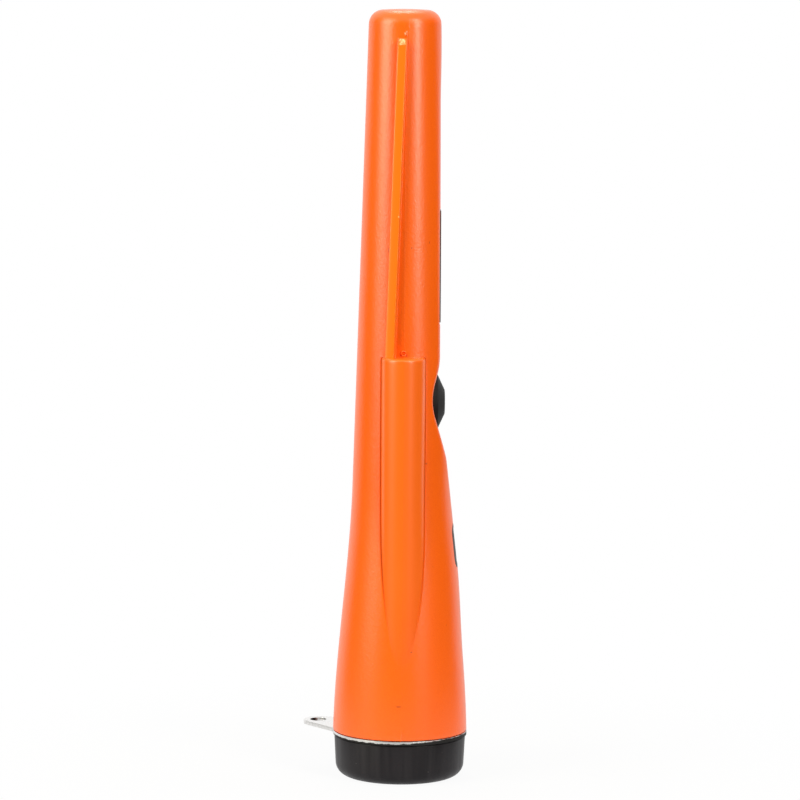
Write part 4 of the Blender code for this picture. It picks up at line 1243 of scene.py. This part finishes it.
button_profile = [
    (0.0, button_top - BUTTON_DISH),
    (BUTTON_TOP_RADIUS * 0.5, button_top - 0.5 * BUTTON_DISH),
    *arc(TOP_ROUNDING, quarter, cone_turn, 5, top_centre),
    *arc(FOOT_ROUNDING, cone_turn, 0.0, 5, foot_centre),
    (button_radius, flange_front),
    (button_high.y, flange_front),
    (button_high.y, flange_low),
    (BUTTON_STEM_RADIUS, flange_low),
    (BUTTON_STEM_RADIUS, button_low.x),
    (0.0, button_low.x),
]
button_mesh = turned("button", button_profile, 96)
dress("thumb_button", button_mesh, plain["button_rubber"], "power_button", button_frame)

# %% [markdown]
# The label is a thin dark plate in a seat of its own. It stays bare here, so its interest is in
# its satin face, its rounded corners and its softly broken edge.

# %% Label plate
LABEL_LIFT = 0.0002
LABEL_EDGE = 0.0001
label_outline = rounded_rectangle(label_half[0], label_half[1], LABEL_CORNER)
label_mesh = edged(flat_shape((label_outline,), LABEL_LIFT - LABEL_DEPTH, LABEL_LIFT), LABEL_EDGE, 2)
dress("bare_label", label_mesh, plain["label_black"], "label_plate", label_frame)

# %% [markdown]
# The speaker's cover fills its seat flush with the body, so its face is trimmed by the body's own
# curve: rings of the outline are lifted onto the front. Its middle is sunk a little, and three
# slots in it let the sound out.

# %% Speaker cover
SLOT_WIDTH = 0.0011
SLOT_LENGTH = 0.0076
SLOT_PITCH = 0.0024
SLOT_HALF_DEPTH = 0.004
COVER_EDGE = 0.00012
COVER_LIFT = 0.00003
PANEL_DROP = 0.00012
PANEL_SHARE = 0.84
PANEL_SLOPE = 0.08
MEMBRANE_TOP = 0.0007
to_speaker = speaker_frame.inverted()


def front_height(u, v):
    """Height of the body's front over the speaker's own plane, at a place in that plane."""
    guess = speaker_frame @ Vector((u, v, 0.0))
    angle = acos(max(-1.0, min(1.0, -guess.y / outer_radius(guess.z))))
    return (to_speaker @ body_point(angle, guess.z)).z


def cover_ring(inset, lift, share=1.0):
    outline = speaker_outline(GAP + inset, share)
    return [Vector((x, y, front_height(x, y) + lift)) for x, y in outline]


cover_floor = MEMBRANE_TOP - SPEAKER_DEPTH
cover_rings = []
for share in (0.2, 0.6, 1.0):
    cover_rings.append([Vector((x, y, cover_floor)) for x, y in speaker_outline(GAP, share)])
cover_rings += [cover_ring(COVER_EDGE * (1 - c), COVER_LIFT - COVER_EDGE * (1 - s)) for s, c in bend(4)]
for share in (0.92, 0.84, 0.80, 0.76, 0.6, 0.46, 0.32, 0.18, 0.06):
    lift = COVER_LIFT - PANEL_DROP * ease((PANEL_SHARE - share) / PANEL_SLOPE)
    cover_rings.append(cover_ring(0.0, lift, share))
slot_outline = rounded_rectangle(SLOT_LENGTH / 2, SLOT_WIDTH / 2, SLOT_WIDTH * 0.49)
slot_cutters = []
for aside in (-SLOT_PITCH, 0.0, SLOT_PITCH):
    place = Matrix.Translation((0.0, aside, 0.0))
    slot_cutters.append(flat_shape((slot_outline,), -SLOT_HALF_DEPTH, SLOT_HALF_DEPTH, place))
cover_mesh = combined(skin("cover", cover_rings), "DIFFERENCE", slot_cutters)
dress("slotted_cover", cover_mesh, plain["cover_plastic"], "speaker_cover", speaker_frame)

# %% [markdown]
# The lamp's window is a clear plug with a low dome, flush with the slope under the button.

# %% Lamp window
LENS_LENGTH = 0.0026
LENS_DOME = 0.0004
lens_profile = [(LENS_RADIUS * i / 8, -LENS_DOME * (i / 8) ** 3) for i in range(9)]
lens_profile += [(LENS_RADIUS, -LENS_LENGTH), (0.0, -LENS_LENGTH)]
lens_mesh = turned("window", lens_profile, 48)
dress("lamp_window", lens_mesh, plain["lens_clear"], "led_lens", lens_frame)

# %% [markdown]
# Two foam pieces hide inside: a disc that keeps the battery from rattling and a cup that cushions
# the coil in the tip. Foam swells where nothing presses on it, so both get crowned edges.

# %% Foam pieces
PAD_ROUNDING = 0.0005
CUP_ROUNDING = 0.0008
CUP_CHAMFER = 0.0022
CUP_ROOM = 0.0002


def foam_mesh(name, points, rounding):
    """A turned outline with its corners drawn in by a few points of a curve."""
    points = [Vector(point) for point in points]
    profile = points[:1]
    for before, here, after in zip(points, points[1:], points[2:]):
        shares = [min(rounding / (other - here).length, 0.45) for other in (before, after)]
        first, last = here.lerp(before, shares[0]), here.lerp(after, shares[1])
        for t in (0.0, 0.25, 0.5, 0.75, 1.0):
            profile.append(first.lerp(here, t).lerp(here.lerp(last, t), t))
    return turned(name, profile + points[-1:], 72)


pad_low, pad_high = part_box("cap_pad")
pad_points = [(0.0, pad_high.z), (pad_high.x, pad_high.z), (pad_high.x, pad_low.z), (0.0, pad_low.z)]
pad = dress("battery_pad", foam_mesh("pad", pad_points, PAD_ROUNDING), plain["foam"], "cap_pad")
cup_low, cup_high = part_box("tip_cushion")
rod_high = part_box("ferrite_rod")[1]
cup_bore = rod_high.x + GAP
cup_points = [
    (0.0, cup_high.z),
    (cup_high.x - CUP_CHAMFER, cup_high.z),
    (cup_high.x, cup_high.z - CUP_CHAMFER),
    (cup_high.x, cup_low.z),
    (cup_bore, cup_low.z),
    (cup_bore, rod_high.z + CUP_ROOM),
    (0.0, rod_high.z + CUP_ROOM),
]
cup = dress("tip_foam", foam_mesh("cup", cup_points, CUP_ROUNDING), plain["foam"], "tip_cushion")

# %% [markdown]
# The electronics stay as the frame gives them, because the closed shell hides them. They still
# get finishes of their own, so that a cut-away or an open model looks right.

# %% Finishes for the hidden pieces
def banded_finish(name, first, second, rough, pitch, depth, **constants):
    """Turns of wire or ribs: fine bands across the Z axis, with a groove between them."""
    finish, inputs, start = new_finish(name, **constants)
    wave = start.math("PINGPONG", object_place(start).axis("Z") * (1.0 / pitch), 0.5)
    fine = noise(start, pitch, 2.0)
    feed(inputs, "Base Color", (wave * 1.4 + fine * 0.3).mix(second, first))
    feed(inputs, "Roughness", rough + fine * 0.15)
    feed(inputs, "Normal", wave.bump(depth, 0.8))
    return finish


HIDDEN_FINISHES = (
    # name, two colours, roughness and its spread, size and depth of the grain, metallic
    ("gasket_rubber", (0.04, 0.04, 0.04), (0.06, 0.06, 0.06), 0.6, 0.2, 0.0004, 0.00002, 0.0),
    ("led_resin", (0.85, 0.87, 0.80), (0.78, 0.80, 0.72), 0.10, 0.1, 0.0008, 0.00001, 0.0),
    ("membrane_film", (0.015, 0.015, 0.017), (0.03, 0.03, 0.033), 0.7, 0.2, 0.0003, 0.00003, 0.0),
    ("buzzer_case", (0.012, 0.012, 0.013), (0.022, 0.022, 0.024), 0.45, 0.2, 0.0004, 0.00002, 0.0),
    ("carrier_plastic", (0.64, 0.62, 0.56), (0.55, 0.53, 0.47), 0.42, 0.2, 0.0005, 0.00003, 0.0),
    ("board_laminate", (0.018, 0.15, 0.045), (0.03, 0.22, 0.07), 0.3, 0.2, 0.0009, 0.00003, 0.0),
    ("chip_resin", (0.015, 0.015, 0.015), (0.03, 0.03, 0.03), 0.45, 0.2, 0.0002, 0.00002, 0.0),
    ("capacitor_can", (0.62, 0.62, 0.64), (0.5, 0.5, 0.52), 0.22, 0.2, 0.0006, 0.00001, 1.0),
    ("switch_case", (0.025, 0.025, 0.025), (0.04, 0.04, 0.04), 0.45, 0.2, 0.0003, 0.00002, 0.0),
    ("plunger_plastic", (0.72, 0.70, 0.64), (0.62, 0.60, 0.54), 0.4, 0.15, 0.0004, 0.00002, 0.0),
    ("motor_steel", (0.56, 0.56, 0.55), (0.45, 0.45, 0.44), 0.22, 0.2, 0.0005, 0.00001, 1.0),
    ("weight_tungsten", (0.34, 0.33, 0.32), (0.24, 0.23, 0.22), 0.35, 0.2, 0.0003, 0.00003, 1.0),
    ("former_nylon", (0.74, 0.71, 0.60), (0.66, 0.62, 0.50), 0.42, 0.15, 0.0005, 0.00002, 0.0),
    ("ferrite", (0.035, 0.034, 0.036), (0.06, 0.058, 0.06), 0.5, 0.2, 0.0003, 0.00003, 0.0),
    ("battery_jacket", (0.04, 0.055, 0.08), (0.06, 0.08, 0.11), 0.25, 0.15, 0.0008, 0.00001, 0.0),
    ("connector_plastic", (0.025, 0.025, 0.025), (0.04, 0.04, 0.04), 0.45, 0.2, 0.0004, 0.00002, 0.0),
)
BANDED_FINISHES = (
    # name, colour of a turn and of the groove, roughness, pitch, depth
    ("screw_steel", (0.50, 0.49, 0.47), (0.30, 0.29, 0.28), 0.25, 0.0007, 0.0003),
    ("coil_copper", (0.72, 0.27, 0.10), (0.36, 0.11, 0.04), 0.24, 0.0004, 0.00015),
)
hidden = {name: grained_finish(name, *row, Metallic=metal) for name, *row, metal in HIDDEN_FINISHES}
hidden.update((row[0], banded_finish(*row, Metallic=1.0)) for row in BANDED_FINISHES)
for node, solid in frame["nodes"].items():
    if slot_of[node] in hidden:
        for place in solid.material_slots:
            place.material = hidden[slot_of[node]]
print("hidden finishes:", len(hidden))

# %% [markdown]
# The studio is white. The floor keeps a soft shadow close to the probe and fades to plain white
# further out, and the world is white for the camera and for reflections. The floor rides with the
# seal, which slides as the cap is unscrewed, so it is always just under the cap.

# %% Floor and world
FLOOR_HALF = 30.0
FLOOR_GREY = 0.55
SHADOW_REACH = 0.16
SHADOW_SHARE = 0.06
WORLD_FILL = 0.80
WHITE = (1.0, 1.0, 1.0, 1.0)


def seen_directly(start):
    """1 for rays from the camera, from gloss and through glass; 0 for light that only bounces."""
    camera = start.add("LightPath", result="Is Camera Ray")
    gloss = start.add("LightPath", result="Is Glossy Ray")
    through = start.add("LightPath", result="Is Transmission Ray")
    return start.math("MAXIMUM", camera + gloss, through)


white_floor = bpy.data.materials.new("white_floor")
white_floor.use_nodes = True
floor_tree = white_floor.node_tree
floor_tree.nodes.remove(floor_tree.nodes["Principled BSDF"])
start = Socket(floor_tree)
apart = start.add("NewGeometry", result="Position").vector("LENGTH")
near = apart.slope(SHADOW_REACH, SHADOW_REACH * 0.25)
matte = start.add("BsdfDiffuse", {"Color": (FLOOR_GREY, FLOOR_GREY, FLOOR_GREY, 1.0)})
glow = start.add("Emission", {"Color": WHITE, "Strength": 1.0})
share = seen_directly(start) * (1.0 - near * SHADOW_SHARE)
shader = start.add("MixShader", {0: share, 1: matte, 2: glow})
feed(floor_tree.nodes["Material Output"].inputs, "Surface", shader)

floor_shape = bmesh.new()
bmesh.ops.create_grid(floor_shape, x_segments=1, y_segments=1, size=FLOOR_HALF)
floor = placed("floor", mesh_of("floor", floor_shape))
floor.data.materials.append(white_floor)
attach(floor, body_of["cap_seal"])

world = bpy.data.worlds.new("white_room")
bpy.context.scene.world = world
world.use_nodes = True
back = world.node_tree.nodes["Background"].inputs
back["Color"].default_value = WHITE
feed(back, "Strength", WORLD_FILL + seen_directly(Socket(world.node_tree)) * (1.0 - WORLD_FILL))
print("floor and world are white")

# %% [markdown]
# A probe photographed like this stands in front of a white sweep, and the room behind the camera
# is dark. Without that dark side its gloss would show white everywhere and the orange would look
# chalky. So a curved black cloth hangs around the front and lies on the floor there. It is hidden
# from the camera, as a photographer would keep it out of the picture.

# %% Black cloth around the camera side
CLOTH_NEAR = 0.15
CLOTH_FAR = 1.70
CLOTH_LOW = 0.002
CLOTH_TOP = 1.30
CLOTH_TURN = 118

cloth_turns = [radians(CLOTH_TURN * i / 24) for i in range(-24, 25)]
cloth_rows = []
for radius, z in ((CLOTH_NEAR, CLOTH_LOW), (CLOTH_FAR, CLOTH_LOW), (CLOTH_FAR, CLOTH_TOP)):
    cloth_rows.append([(radius * sin(t), -radius * cos(t), z) for t in cloth_turns])
cloth_shape = bmesh.new()
quads(cloth_shape, cloth_rows, False)
cloth = placed("black_cloth", mesh_of("black_cloth", cloth_shape))
cloth.data.materials.append(
    grained_finish("black_cloth", (0.012, 0.012, 0.012), (0.02, 0.02, 0.02), 0.9, 0.1, 0.002, 0.0005)
)
cloth.visible_camera = False
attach(cloth, body_of["cap_seal"])
print("cloth faces:", len(cloth.data.polygons))

# %% [markdown]
# Two softboxes stand to the left and right of the camera, above the level of the table. On a round
# barrel each shows as an upright band, and the bands tell where the boxes stand: the surface there
# faces halfway between the camera and the box. The left one is wide and gives most of the light.
# A third one hangs behind and above, and draws the pale edge on the round tip.

# %% Softboxes
SOFTBOXES = (
    # name, degrees from the camera towards the front, level, distance, width, height, radiance, colour
    ("left_softbox", -61, 0.40, 0.65, 0.39, 0.60, 7.4, (1.0, 0.99, 0.80)),
    ("right_softbox", 38.5, 0.41, 0.60, 0.14, 0.58, 14.4, (1.0, 0.99, 0.84)),
    ("back_softbox", 180, 0.90, 0.45, 0.32, 0.35, 6.0, (1.0, 0.98, 0.92)),
)
for name, turn, level, away, width, height, radiance, colour in SOFTBOXES:
    lamp = bpy.data.lights.new(name, "AREA")
    lamp.shape = "RECTANGLE"
    lamp.size = width
    lamp.size_y = height
    lamp.energy = radiance * pi * width * height
    lamp.color = colour
    box = placed(name, lamp)
    box.location = (away * sin(radians(turn)), -away * cos(radians(turn)), level)
    aim = Vector((0.0, 0.0, z_tip / 2)) - box.location
    box.rotation_euler = aim.to_track_quat("-Z", "Y").to_euler()
print("lamps:", len(bpy.data.lights))

# %% [markdown]
# The camera stands more than a metre away with a long lens, a little above the tip and looking
# down, as product photographers do. The picture leans by half a degree, so the camera rolls.

# %% Camera
LENS_MM = 182.0
CAMERA_AWAY = 1.195
CAMERA_HEIGHT = 0.2546
CAMERA_TILT = radians(6.75)
CAMERA_ROLL = radians(0.44)
CAMERA_TURN = radians(-1.4)
CAMERA_ASIDE = -0.00068

camera_data = bpy.data.cameras.new("camera")
camera_data.lens = LENS_MM
camera = placed("camera", camera_data)
around = Matrix.Rotation(CAMERA_TURN, 4, "Z")
stand = Matrix.Translation((CAMERA_ASIDE, -CAMERA_AWAY, CAMERA_HEIGHT))
nod = Matrix.Rotation(quarter - CAMERA_TILT, 4, "X")
roll = Matrix.Rotation(CAMERA_ROLL, 4, "Z")
camera.matrix_world = around @ stand @ nod @ roll
bpy.context.scene.camera = camera
bpy.context.scene.view_settings.view_transform = "Standard"
print("camera at", [round(value, 3) for value in camera.matrix_world.translation])

# %% [markdown]
